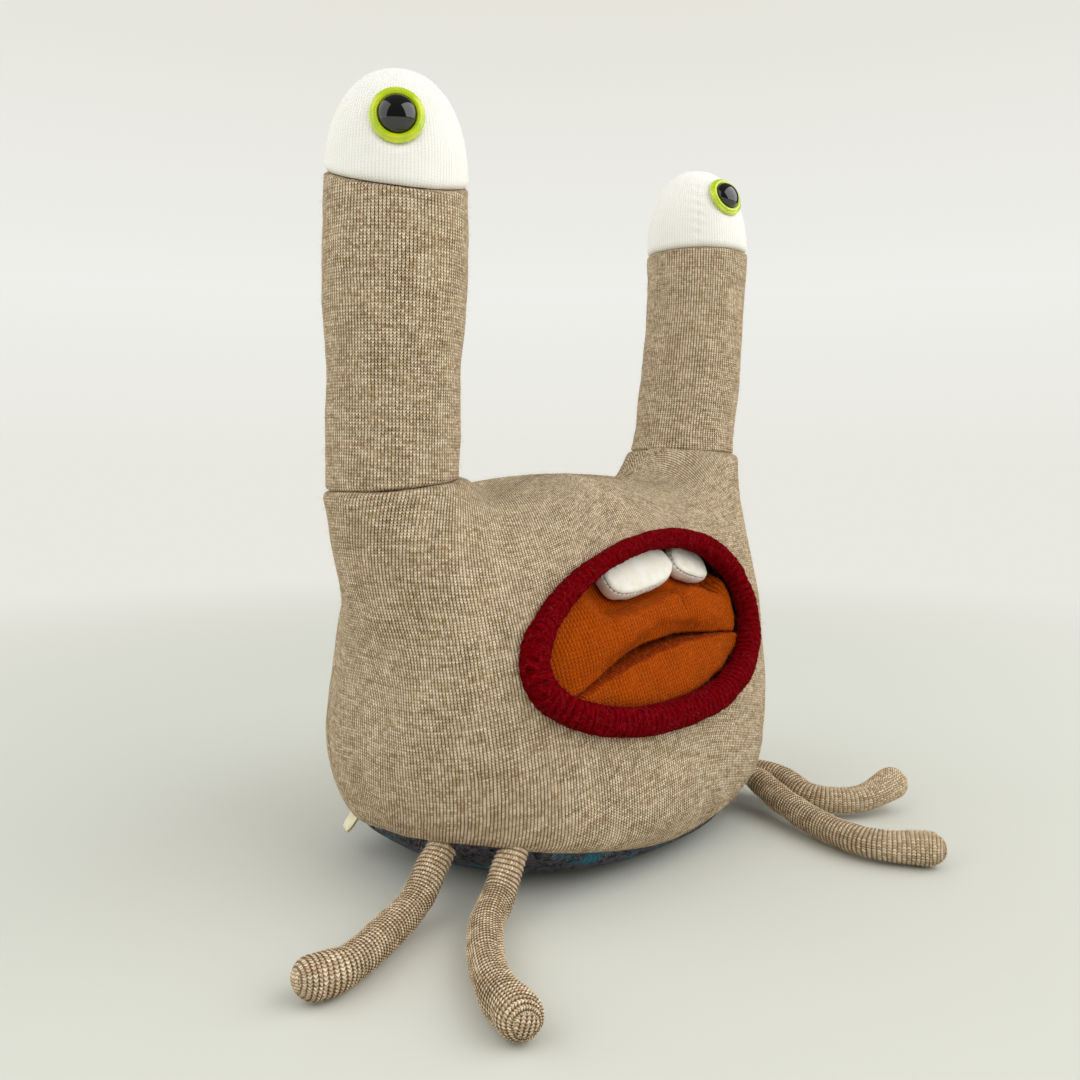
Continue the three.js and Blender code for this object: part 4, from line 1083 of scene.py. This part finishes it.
def turned_moulding(name, outline, segments=64):
    """Turns a closed outline of radius and height about the eye's axis, ring by ring from its first point."""
    bpy.ops.object.select_all(action="DESELECT")
    bpy.ops.mesh.primitive_circle_add(
        vertices=segments, radius=outline[0][0] * MM, location=(0, 0, outline[0][1] * MM))
    obj = bpy.context.object
    obj.name = obj.data.name = name
    bpy.ops.object.transform_apply(location=True)
    bpy.ops.object.mode_set(mode="EDIT")
    bpy.ops.mesh.select_all(action="SELECT")
    for (radius, height), (next_radius, next_height) in zip(outline, outline[1:]):
        step = (0, 0, (next_height - height) * MM)
        bpy.ops.mesh.extrude_region_move(TRANSFORM_OT_translate={"value": step})
        grow = next_radius / radius
        bpy.ops.transform.resize(value=(grow, grow, 1), center_override=(0, 0, 0))
    bpy.ops.mesh.select_all(action="SELECT")
    bpy.ops.mesh.remove_doubles(threshold=1e-6)
    bpy.ops.mesh.normals_make_consistent(inside=False)
    bpy.ops.object.mode_set(mode="OBJECT")
    bpy.ops.object.shade_smooth_by_angle(angle=math.radians(40))
    return obj


# The rim's section: its flat back, the outer flange, the step and the raised ring round the pupil
RIM_OUTLINE = [
    (7.0, 0.0), (11.5, 0.0), (11.9, 0.25), (12.0, 0.7), (11.85, 1.3), (11.4, 1.75), (10.9, 1.9),
    (10.75, 2.0), (10.65, 2.5), (10.3, 2.9), (9.8, 3.0), (9.3, 2.95), (8.7, 2.75), (8.38, 2.35),
    (8.33, 1.4), (7.0, 1.4), (7.0, 0.0),
]
PUPIL_RADIUS = 8.2
DOME_FOOT = 2.2
DOME_HEIGHT = 5
SHANK_RINGS = 4
RING_PITCH = 3
SHANK_END = -14.0


def pupil_outline():
    """The dome, then its collar and ringed shank, from the top of the dome down."""
    dome = [(PUPIL_RADIUS * math.sin(a), DOME_FOOT + DOME_HEIGHT * math.cos(a))
            for a in np.linspace(0.02, math.pi / 2, 14)]
    shank = [(PUPIL_RADIUS, 1.7), (6.7, 1.7), (6.7, 0.5), (2.4, 0.5)]
    for ring in range(SHANK_RINGS):
        low = -1.5 - ring * RING_PITCH
        shank += [(2.4, low), (1.9, low - 1.5)]
    return dome + shank + [(1.9, SHANK_END), (0.02, SHANK_END)]


class MONSTER_OT_eyes(bpy.types.Operator):
    """Moulds the lime rims and black pupils of the safety eyes"""
    bl_idname = "monster.eyes"
    bl_label = "Eyes"

    def execute(self, context):
        colours = context.scene.monster_colours
        lime = moulded_plastic("Lime moulded plastic", colours.rim, linear("#a6c804"), 0.22)
        black = moulded_plastic("Black moulded plastic", colours.pupil, linear("#050506"), 0.06)
        white = moulded_plastic("White washer plastic", linear("#e8e8e4"), linear("#dcdcd6"), 0.45)
        for side, stalk in STALKS.items():
            frame_turn, root = stalk_frame(stalk)
            seat, normal = eye_place(stalk)
            place = frame_turn @ (seat + normal * EYE_LIFT) + root
            facing = Vector(frame_turn @ normal).to_track_quat("Z", "Y").to_matrix().to_4x4()
            put = Matrix.Translation(Vector(place) * MM) @ facing
            for part, outline, material, slot in (
                    ("rim", RIM_OUTLINE, lime, "lime_plastic"),
                    ("pupil", pupil_outline(), black, "black_plastic")):
                obj = turned_moulding(f"{part}_{side}", outline)
                obj.data.transform(put)
                obj.data.materials.append(material)
                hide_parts(f"eye_{part}_{side}")
                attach(obj, f"eyestalk_{side}")
            washer = bpy.data.objects[f"eye_washer_{side}"]
            for slot in washer.material_slots:
                slot.material = white
        return {"FINISHED"}


# Mouth

LIP_RIB_STEPS = 5
LIP_SIDES = 36
LIP_SQUARE = 2.5
LIP_RELIEF = 0.22
LIP_GIRTH = 44.0
LOBE_ROWS = 33
LOBE_SIDES = 220


def lip_line(count):
    """Evenly spaced points of the lip's middle line, their tangents and fullness, and its length."""
    angle = 2 * np.pi * np.arange(1441) / 1440
    x, z = in_mouth(*oval_point(angle, 0))
    trail = np.stack([x, -front_depth(x, z) - LIP_PROUD, z], axis=-1)
    along = arc_lengths(trail, 0)
    even = along[-1] * np.arange(count) / count
    line = np.stack([np.interp(even, along, trail[:, k]) for k in range(3)], axis=-1)
    tangents = unit(np.roll(line, -2, axis=0) - np.roll(line, 2, axis=0))
    turn = np.interp(even, along, angle)
    # The lip is rolled thinner over the teeth and at the toy's left
    from_left = np.mod(turn + np.pi, 2 * np.pi) - np.pi
    slim = bell(turn - 1.7, 0.33, 0.95) + bell(from_left, 0.16, 0.7)
    return line, tangents, 1.03 - slim, along[-1]


class MONSTER_OT_lip(bpy.types.Operator):
    """Rolls the ribbed lip round the mouth"""
    bl_idname = "monster.lip"
    bl_label = "Lip"

    def execute(self, context):
        colours, sizes = context.scene.monster_colours, context.scene.monster_sizes
        length = lip_line(8)[-1]
        ribs = round(length * MM / sizes.lip_rib)
        steps = ribs * LIP_RIB_STEPS
        line, tangents, fullness, _ = lip_line(steps)
        share = np.arange(steps) / steps
        wave = 0.5 + 0.5 * np.cos(2 * np.pi * ribs * share)
        side = unit(np.cross(tangents, np.array([0.0, -1.0, 0.0])))
        out = np.cross(side, tangents)
        angle = 2 * np.pi * np.arange(LIP_SIDES) / LIP_SIDES
        c, s = np.cos(angle), np.sin(angle)
        spoke = c[None, :, None] * side[:, None] + s[None, :, None] * out[:, None]
        line = line + side * (LIP_RADIUS * (1 - fullness))[:, None]
        square = (np.abs(c) ** LIP_SQUARE + np.abs(s) ** LIP_SQUARE) ** (-1 / LIP_SQUARE)
        radius = (LIP_RADIUS * fullness[:, None] - LIP_RELIEF * (1 - wave[:, None])) * square
        rough = line[:, None] + spoke * radius[..., None]
        radius = radius + lumps(rough, 18, 0.35, 8) + lumps(rough, 4, 0.2, 9)
        points = line[:, None] + spoke * radius[..., None]
        points = np.concatenate([points, points[:1]])
        pitch = sizes.lip_rib / MM
        along = pitch * ribs * np.arange(steps + 1) / steps
        round_it = LIP_GIRTH * np.arange(LIP_SIDES + 1) / LIP_SIDES
        layout = np.stack(np.meshgrid(along, round_it, indexing="ij"), axis=-1)
        mesh = skin("lip", points, layout, ends=(False, False))
        face_out(mesh, join=True)
        red = ribbed_wool("Brushed red rib", colours.lip, colours.lip_dark, sizes.lip_rib, 0.03)
        dress("lip", mesh, red, ["lip_ring"], "body")
        fibre = loose_wool("Loose red wool", linear("#7c0812"), linear("#a82634"))
        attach(bloom("lip_bloom", mesh, fibre, 4500, 3.8, 80), "body")
        return {"FINISHED"}


def crease_rise(along):
    """How high up the mouth the crease between the lobes is, at a place along it."""
    return CREASE_RISE - CREASE_ARCH * (along / MOUTH["half_width"]) ** 2


def lobe_outline(above, count):
    """Evenly spaced outline of the lobe above or below the crease, counted along and up the mouth."""
    side = 1 if above else -1
    angle = side * np.radians(np.arange(0, 360, 0.5) - 90)
    along, rise = oval_point(angle, -LINING_EDGE)
    kept = side * (rise - crease_rise(along)) > 0.3
    along, rise = along[kept], rise[kept]
    back = np.linspace(along[-1], along[0], 80)[1:-1]
    along = np.concatenate([along, back, along[:1]])
    rise = np.concatenate([rise, crease_rise(back) + side * 0.15, rise[:1]])
    trail = np.stack([along, rise], axis=-1)
    length = arc_lengths(trail, 0)
    even = length[-1] * np.arange(count) / count
    return np.stack([np.interp(even, length, trail[:, k]) for k in (0, 1)], axis=-1)


def tooth_place(side):
    """A tooth's hinge point and its frame."""
    tooth = TEETH[side]
    place = np.array(JOINTS[f"tooth_{side}_lift"]["pos_m"]) / MM
    return place, turned(-TOOTH_PITCH, -tooth["roll"], tooth["turn"])


def clear_of_teeth(points):
    """Presses fabric back behind the teeth that lie on it."""
    for side, tooth in TEETH.items():
        place, frame_turn = tooth_place(side)
        local = (points - place) @ frame_turn
        across = np.abs(local[..., 0]) - tooth["width"] / 2
        down = np.abs(local[..., 2] + tooth["height"] / 2 - TOOTH_THICKNESS / 2) - tooth["height"] / 2
        # On the outer side of the left tooth the lining soon comes up again
        fade = np.where((local[..., 0] > 0) & (side == "left"), 7, 24)
        near = (1 - smooth_step(across, -1, fade)) * (1 - smooth_step(down, -1, 11))
        back = np.clip(TOOTH_THICKNESS / 2 + 0.7 - local[..., 1], 0, 24) * near
        points = points + (frame_turn @ np.array([0, 1.0, 0])) * back[..., None]
    return points


class MONSTER_OT_lining(bpy.types.Operator):
    """Stuffs the two orange lobes of the mouth's lining"""
    bl_idname = "monster.lining"
    bl_label = "Mouth lining"

    def execute(self, context):
        colours = context.scene.monster_colours
        # The lining's wool, with deep red-brown painted shade in the crease between its lobes
        orange = wool_knit("Felted orange wool", colours.lobe, linear("#9e4404"), colours.lobe_dark,
                           2.1 * MM, 1.7 * MM, streaks=0.3, relief=0.4, sheen=0.03, painted_crease_shade=linear("#701c04"))
        fibre = loose_wool("Loose orange wool", linear("#b4560b"), linear("#d27c2c"))
        for name, above in (("upper", True), ("lower", False)):
            outline = lobe_outline(above, LOBE_SIDES)
            middle = outline.mean(axis=0)
            angle = (np.pi / 2) * np.linspace(-1, 1, LOBE_ROWS) * 0.97
            scale = np.cos(angle) ** LINING_SQUARE
            flat = middle + (outline - middle)[None] * scale[:, None, None]
            x, z = in_mouth(flat[..., 0], flat[..., 1])
            bulge = np.where(angle < 0, LINING_CROWN, LINING_BACK)
            y = LINING_SETBACK - front_depth(x, z) + (np.sin(angle) * bulge)[:, None]
            mesh = skin(f"lobe_{name}", np.stack([x, y, z], axis=-1),
                        np.zeros((LOBE_ROWS, LOBE_SIDES + 1, 2)))
            face_out(mesh)
            mesh = stuff(f"lobe_{name}", mesh, voxel=2.6, pressure=5, cap=4)
            points = corner_places(mesh)
            along, rise = from_mouth(points[:, 0], points[:, 2])
            deep = front_depth(points[:, 0], points[:, 2]) + points[:, 1]
            front = smooth_step(-deep, -14, -6)
            # At the toy's left the lining comes up to the lip
            full = 0.7 * smooth_step(along, 38, 76)
            # The two lobes press together in the crease
            from_crease = rise - crease_rise(along)
            full = np.maximum(full, bell(from_crease, 0.6 if above else 0.9, 7))
            points[:, 1] -= np.clip(deep, 0, 14) * full * front
            ripple = lumps(points, 24, 0.8, 40 + above) + lumps(points, 9, 0.25, 42)
            if above:
                # A short pleat under the teeth
                ripple -= bell(along - 27 - 0.1 * rise, 2.2, 1.3) * smooth_step(rise, 1, 8)
            points[:, 1] -= front * ripple
            if above:
                points = clear_of_teeth(points)
            move_points(mesh, points)
            # The Crease attribute marks where the painted crease shade lies
            crease = mesh.attributes.new("Crease", "FLOAT", "POINT")
            crease.data.foreach_set("value", bell(from_crease, 1, 1.7))
            lay_flat(mesh, lambda at: np.stack(from_mouth(at[:, 0], at[:, 2] - 0.3 * at[:, 1]), axis=-1))
            dress(mesh.name, mesh, orange, [f"mouth_lining_{name}"], "body")
            fluff = bloom(f"{mesh.name}_bloom", mesh, fibre, 2600, 3.0, 85 + above,
                          keep=lambda at: at[:, 1] + front_depth(at[:, 0], at[:, 2]) < 12)
            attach(fluff, "body")
        return {"FINISHED"}


TOOTH_ROWS = 45
TOOTH_SIDES = 144
TOOTH_SQUARE = 0.7
STITCH_PITCH = 2.6
THREAD_HALF_WIDTH = 0.22


class MONSTER_OT_teeth(bpy.types.Operator):
    """Stuffs the two felt teeth and stitches their edges"""
    bl_idname = "monster.teeth"
    bl_label = "Teeth"

    def execute(self, context):
        colours = context.scene.monster_colours
        white = felt("White wool felt", colours.tooth, linear("#e0dbc8"))
        thread = felt("Grey sewing thread", linear("#7e7a66"), linear("#57533f"))
        half = TOOTH_THICKNESS / 2
        angle = (np.pi / 2) * np.linspace(-1, 1, TOOTH_ROWS) * 0.97
        edge = -(1 - np.cos(angle) ** 0.5) * half
        turn = 2 * np.pi * np.arange(TOOTH_SIDES) / TOOTH_SIDES
        c, s = np.cos(turn), np.sin(turn)
        for side, tooth in TEETH.items():
            place, frame_turn = tooth_place(side)
            half_width = (tooth["width"] / 2 - TOOTH_TRIM + edge)[:, None]
            wide = half_width * (np.sign(c) * np.abs(c) ** TOOTH_SQUARE) + TOOTH_SHIFT[side]
            tall = (tooth["height"] / 2 + edge)[:, None] * (np.sign(s) * np.abs(s) ** TOOTH_SQUARE)
            deep = np.broadcast_to((half * np.sin(angle))[:, None], wide.shape)
            points = np.stack([wide, deep, half - tooth["height"] / 2 + tall], axis=-1)
            local_layout = np.stack([wide, tall], axis=-1)
            round_it = np.roll(points, -1, axis=1) - np.roll(points, 1, axis=1)
            out = unit(np.cross(np.gradient(points, axis=0), round_it))
            out *= np.sign((out * (points - points.mean(axis=(0, 1)))).sum(-1, keepdims=True))
            sunk = bell(angle + TOOTH_SEAM, 0.45, 0.09)[:, None]
            sunk = sunk + lumps(points, 9, 0.22, 7) + lumps(points, 4, 0.08, 8)
            points = points - out * sunk[..., None]

            # Thread that crosses the seam at the sides and below
            row = int(np.argmin(np.abs(angle + TOOTH_SEAM)))
            run = arc_lengths(points[row], 0)
            places = [int(np.argmin(np.abs(run - at))) for at in np.arange(1.2, run[-1], STITCH_PITCH)]
            places = np.array([column for column in places if s[column] < 0.75])
            lift = out[row, places] * 0.3
            ends = [points[row - 2, places] + lift, points[row + 2, places] + lift]
            along = points[row, (places + 1) % TOOTH_SIDES] - points[row, places - 1]
            width = THREAD_HALF_WIDTH * unit(along)
            marks = np.stack([ends[0] - width, ends[0] + width, ends[1] + width, ends[1] - width], axis=1)
            marks = marks.reshape(-1, 3) @ frame_turn.T + place
            sewn = bpy.data.meshes.new(f"tooth_thread_{side}")
            sewn.from_pydata((marks * MM).tolist(), [], np.arange(len(marks)).reshape(-1, 4).tolist())
            sewn.materials.append(thread)
            obj = put_in_scene(sewn.name, sewn)
            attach(obj, f"tooth_{side}")

            points = points @ frame_turn.T + place
            mesh = skin(f"tooth_felt_{side}", points,
                        np.concatenate([local_layout, local_layout[:, :1]], axis=1))
            face_out(mesh)
            dress(mesh.name, mesh, white, [f"tooth_{side}"], f"tooth_{side}")
        return {"FINISHED"}


# Legs

def smooth_line(knots, spacing):
    """A centripetal curve through knots as evenly spaced points, and its length."""
    knots = np.asarray(knots, float)
    knots = np.concatenate([[2 * knots[0] - knots[1]], knots, [2 * knots[-1] - knots[-2]]])
    trail = []
    for a, b, c, d in zip(knots, knots[1:], knots[2:], knots[3:]):
        gaps = [math.sqrt(np.linalg.norm(q - p)) for p, q in ((a, b), (b, c), (c, d))]
        start = ((b - a) / gaps[0] - (c - a) / (gaps[0] + gaps[1]) + (c - b) / gaps[1]) * gaps[1]
        end = ((c - b) / gaps[1] - (d - b) / (gaps[1] + gaps[2]) + (d - c) / gaps[2]) * gaps[1]
        t = np.linspace(0, 1, 80, endpoint=False)[:, None]
        square, cube = -3 * b + 3 * c - 2 * start - end, 2 * b - 2 * c + start + end
        trail.append(b + start * t + square * t**2 + cube * t**3)
    trail = np.concatenate([*trail, knots[-2:-1]])
    along = arc_lengths(trail, 0)
    count = round(along[-1] / spacing)
    even = along[-1] * np.arange(count + 1) / count
    return np.stack([np.interp(even, along, trail[:, k]) for k in range(3)], axis=-1), along[-1]


LEG_SIDES = 96
LEG_GIRTH = 35 * COURSE
LEG_RIB_DEPTH = 0.32
TOE_PATCH = 8.5
PINCH = 0.42
PINCH_REACH = (-2, 13)
PINCH_TUCK = 2.5


class MONSTER_OT_legs(bpy.types.Operator):
    """Knits the four ribbed legs"""
    bl_idname = "monster.legs"
    bl_label = "Legs"

    def execute(self, context):
        scene = context.scene
        colours, sizes = scene.monster_colours, scene.monster_sizes
        rib = sizes.leg_rib / MM
        # The legs' gap colour is painted shade between the stitches of the ribs
        wool = wool_knit("Ribbed heather wool", colours.yarn, colours.fleck, linear("#5a4734"),
                         sizes.leg_rib, sizes.course, slant=0.6, streaks=0.3, relief=0.5)
        for number, (name, knots) in enumerate(LEGS.items()):
            line, length = smooth_line(knots, rib / 6)
            tangents = unit(np.gradient(line, axis=0))
            along = arc_lengths(line, 0)
            swell = smooth_step(along / length, 0.7, 0.94)
            radius = LEG_RADIUS + (FOOT_RADIUS - LEG_RADIUS) * swell
            root_part = np.linspace(0.12, 1, 22) * math.pi / 2
            toe_part = np.linspace(0, 0.97, 26)[1:] * math.pi / 2
            body_part = along <= length - FOOT_RADIUS
            centres = np.concatenate([
                line[0] - tangents[0] * LEG_RADIUS * np.cos(root_part)[:, None],
                line[body_part][1:],
                line[body_part][-1] + tangents[-1] * (FOOT_RADIUS * np.sin(toe_part))[:, None],
            ])
            ways = np.concatenate([
                np.repeat(tangents[:1], len(root_part), axis=0), tangents[body_part][1:],
                np.repeat(tangents[-1:], len(toe_part), axis=0)])
            radii = np.concatenate([
                LEG_RADIUS * np.sin(root_part), radius[body_part][1:], FOOT_RADIUS * np.cos(toe_part)])
            surface = np.concatenate([
                (root_part - math.pi / 2) * LEG_RADIUS, along[body_part][1:],
                along[body_part][-1] + toe_part * FOOT_RADIUS])
            points, layout = tube(centres, ways, radii[:, None] * np.ones(LEG_SIDES), LEG_SIDES, LEG_GIRTH)
            layout[..., 0] = surface[:, None] + rib / 2
            out = unit(points - centres[:, None])

            # The toe is closed with its ribs straight across the end
            toe = centres[-len(toe_part) - 1]
            past = points - toe
            across = unit(np.cross(ways[-1], np.array([0.35, 0.2, 1.0])))
            closed = (surface > surface[-len(toe_part)] + TOE_PATCH)[:, None] & np.ones(LEG_SIDES, bool)
            patch = np.stack([past @ across + rib / 2, past @ np.cross(ways[-1], across)], -1)
            layout[:, :-1][closed] = patch[closed]
            layout[:, -1] = layout[:, 0] + np.where(closed[:, :1], 0, [0, LEG_GIRTH])
            out = np.where(closed[..., None], unit(past), out)
            ridge = LEG_RIB_DEPTH * (np.cos(2 * np.pi * (layout[:, :-1, 0] / rib - 0.5)) - 1)
            press = ridge * np.where(closed, 1, np.clip(radii / 4, 0, 1)[:, None])
            points = points + out * (press + lumps(points, 14, 0.3, 50 + number))[..., None]

            # Its root is pinched flat in the seam
            pinch = (1 - smooth_step(surface, *PINCH_REACH))[:, None, None]
            side = unit(np.cross(np.array([0.0, 0.0, 1.0]), ways))
            up = np.cross(ways, side)[:, None]
            points = points - up * (PINCH * pinch * ((points - centres[:, None]) * up).sum(-1, keepdims=True))
            inwards = -unit(line[0] * np.array([1, 1, 0]))
            points = points + inwards * PINCH_TUCK * pinch
            points[..., 2] = np.maximum(points[..., 2], 0.3)
            mesh = skin(f"leg_knit_{name}", points, layout)
            face_out(mesh)
            leg = dress(mesh.name, mesh, wool, [f"leg_cover_{name}", f"leg_stuffing_{name}"])
            fluff = bloom(
                f"leg_bloom_{name}", mesh, loose_beige_wool(), 1500, 2.4, 90 + number)
            for soft in (leg, fluff):
                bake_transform(soft)
        return {"FINISHED"}


# Tag

# Half the distance between the tape's two leaves
TAG_GAP = 0.55
TAG_SEWN_IN = 1.5
TAG_ROWS = 16
TAPE_THICKNESS = 0.4


class MONSTER_OT_tag(bpy.types.Operator):
    """Folds the bare tape tag in the base seam"""
    bl_idname = "monster.tag"
    bl_label = "Tag"

    def execute(self, context):
        colours = context.scene.monster_colours
        tape = felt("Cotton tape", colours.tag, linear("#d8d0a8"))
        turn = math.radians(TAG["azimuth"])
        away = np.array([math.cos(turn), math.sin(turn), 0])
        middle = np.array([0, 0, TAG["level"]])
        place = middle + away * body_reach(middle, away)

        # One strip, out from the seam, round the fold and back, with a slight wave
        bend = np.linspace(math.pi / 2, -math.pi / 2, 9)
        length, gap = TAG["length"], TAG_GAP
        fold = length - gap
        leaf = np.linspace(-TAG_SEWN_IN, fold, TAG_ROWS)
        out = np.concatenate([leaf, fold + gap * np.cos(bend), leaf[::-1]])
        rise = np.concatenate([np.full(TAG_ROWS, gap), gap * np.sin(bend), np.full(TAG_ROWS, -gap)])
        across = np.linspace(-TAG["width"] / 2, TAG["width"] / 2, 14)
        out, wide = np.meshgrid(out, across, indexing="ij")
        wide = wide * (1 - 0.22 * smooth_step(out, length - 4, length) ** 2)
        rise = rise[:, None] + 0.25 * np.sin(wide * 0.5 + 1) * np.clip(out / length, 0, 1)
        droop = math.radians(TAG["droop"])
        along = away * math.cos(droop) - np.array([0, 0, math.sin(droop)])
        over = away * math.sin(droop) + np.array([0, 0, math.cos(droop)])
        side = np.cross(over, along)
        points = place + out[..., None] * along + rise[..., None] * over + wide[..., None] * side
        rows, cols = points.shape[:2]
        first = (np.arange(rows - 1)[:, None] * cols + np.arange(cols - 1)).ravel()[:, None]
        mesh = bpy.data.meshes.new("folded_tag")
        mesh.from_pydata((points.reshape(-1, 3) * MM).tolist(), [], (first + [0, 1, cols + 1, cols]).tolist())
        mesh.shade_smooth()
        obj = dress("folded_tag", mesh, tape, ["side_tag"], "body")
        thick = obj.modifiers.new("Tape", "SOLIDIFY")
        thick.thickness, thick.offset = TAPE_THICKNESS * MM, 0
        return {"FINISHED"}


# Stage

CAMERA_PLACE = np.array([-408.4, -375.8, 203.1])
CAMERA_YAW = 46.26
CAMERA_PITCH = 4.5
CAMERA_SENSOR = 36
PICTURE_PIXELS = 1080
FOCAL_PIXELS = 1000
# The lamps' places, sizes and target are in metres, and their power is in watts
LAMPS = (("soft_left", (-1.1, 0.6, 0.9), 11), ("soft_right", (0.6, -1.1, 1.0), 19))
LAMP_SIZE = (2.2, 1.5)
LAMP_TARGET = (0, 0, 0.17)
HORIZON = "#e9e8e0"


class MONSTER_OT_stage(bpy.types.Operator):
    """Sets out the pale floor, the soft lights and the camera"""
    bl_idname = "monster.stage"
    bl_label = "Stage"

    def execute(self, context):
        scene = context.scene
        colours = scene.monster_colours
        bpy.ops.object.select_all(action="DESELECT")
        bpy.ops.mesh.primitive_circle_add(vertices=96, radius=12, fill_type="NGON")
        floor = context.object
        floor.name = "floor"
        material, tree = blank("Pale paper")
        place = add(tree, "TexCoord").node.outputs["Object"]
        far = add(tree, "VectorMath", {0: place}, operation="LENGTH").node.outputs["Value"]
        # The paper turns into the lit backdrop between these distances in metres
        away = add(tree, "MapRange", {"Value": far, "From Min": 0.42, "From Max": 1.3},
                   interpolation_type="SMOOTHSTEP")
        paper = add(tree, "BsdfPrincipled", {"Base Color": (*colours.floor, 1), "Roughness": 0.9,
                                             "Specular IOR Level": 0.1})
        glow = add(tree, "Emission", {"Color": (*linear(HORIZON), 1), "Strength": 1.0})
        surface = add(tree, "MixShader", {0: away, 1: paper, 2: glow})
        add(tree, "OutputMaterial", {"Surface": surface})
        floor.data.materials.append(material)

        world = bpy.data.worlds.new("Studio")
        world.use_nodes = True
        scene.world = world
        tree = world.node_tree
        tree.nodes.clear()
        rays = add(tree, "LightPath").node.outputs
        seen = add(tree, "Math", {0: rays["Is Camera Ray"], 1: rays["Is Transmission Ray"]},
                   operation="MAXIMUM")
        way = add(tree, "TexCoord").node.outputs["Generated"]
        rise = add(tree, "SeparateXYZ", {0: way}).node.outputs["Z"]
        # The light grows from the floor upwards
        lift = add(tree, "MapRange", {
            "Value": rise, "From Min": -0.1, "From Max": 0.9, "To Min": 0.5, "To Max": 0.92})
        # Reflections see a dark studio, so the pupils mirror only the two soft lamps
        dim = add(tree, "Math", {0: rays["Is Glossy Ray"], 1: -0.85, 2: 1.0}, operation="MULTIPLY_ADD")
        power = add(tree, "Math", {0: lift, 1: dim}, operation="MULTIPLY")
        soft = add(tree, "Background", {"Color": (1, 1, 1, 1), "Strength": power})
        ramp = add(tree, "ValToRGB", {0: rise})
        tones = ramp.node.color_ramp.elements
        tones[0].position, tones[0].color = 0.0, (*linear(HORIZON), 1)
        tones[1].position, tones[1].color = 0.45, (*linear("#e4e2d8"), 1)
        middle = tones.new(0.16)
        middle.color = (*linear("#efefeb"), 1)
        back = add(tree, "Background", {"Color": ramp, "Strength": 1.0})
        light = add(tree, "MixShader", {0: seen, 1: soft, 2: back})
        add(tree, "OutputWorld", {"Surface": light})

        for name, place, energy in LAMPS:
            lamp = bpy.data.lights.new(name, "AREA")
            lamp.shape, lamp.energy = "RECTANGLE", energy
            lamp.size, lamp.size_y = LAMP_SIZE
            obj = put_in_scene(name, lamp)
            obj.location = place
            way = Vector(LAMP_TARGET) - Vector(place)
            obj.rotation_euler = way.to_track_quat("-Z", "Y").to_euler()

        camera = bpy.data.cameras.new("camera")
        camera.sensor_width = CAMERA_SENSOR
        camera.lens = FOCAL_PIXELS / PICTURE_PIXELS * CAMERA_SENSOR
        camera.clip_start, camera.clip_end = 0.01, 60
        obj = put_in_scene("camera", camera)
        obj.location = Vector(CAMERA_PLACE) * MM
        obj.rotation_euler = (math.radians(90 - CAMERA_PITCH), 0, math.radians(-CAMERA_YAW))
        scene.camera = obj
        scene.view_settings.view_transform = "Standard"
        return {"FINISHED"}


# Panel and registration

STEPS = (
    MONSTER_OT_stage, MONSTER_OT_body, MONSTER_OT_stalks, MONSTER_OT_eyes, MONSTER_OT_lip,
    MONSTER_OT_lining, MONSTER_OT_teeth, MONSTER_OT_legs, MONSTER_OT_tag,
)


class MONSTER_PT_panel(bpy.types.Panel):
    """Lists the monster's pieces and settings"""
    bl_label = "Plush monster"
    bl_space_type = "VIEW_3D"
    bl_region_type = "UI"
    bl_category = "Plush monster"

    def draw(self, context):
        for group in (context.scene.monster_colours, context.scene.monster_sizes):
            box = self.layout.box()
            for key in group.bl_rna.properties.keys():
                if key not in ("rna_type", "name"):
                    box.prop(group, key)
        for step in STEPS:
            self.layout.operator(step.bl_idname)


CLASSES = (MonsterColours, MonsterSizes, *STEPS, MONSTER_PT_panel)


def register():
    for cls in CLASSES:
        bpy.utils.register_class(cls)
    bpy.types.Scene.monster_colours = bpy.props.PointerProperty(type=MonsterColours)
    bpy.types.Scene.monster_sizes = bpy.props.PointerProperty(type=MonsterSizes)


def unregister():
    del bpy.types.Scene.monster_sizes
    del bpy.types.Scene.monster_colours
    for cls in reversed(CLASSES):
        bpy.utils.unregister_class(cls)


def main():
    register()
    bpy.ops.monster.stage()
    bpy.ops.monster.body()
    bpy.ops.monster.stalks()
    bpy.ops.monster.eyes()
    bpy.ops.monster.lip()
    bpy.ops.monster.lining()
    bpy.ops.monster.teeth()
    bpy.ops.monster.legs()
    bpy.ops.monster.tag()


if __name__ == "__main__":
    main()
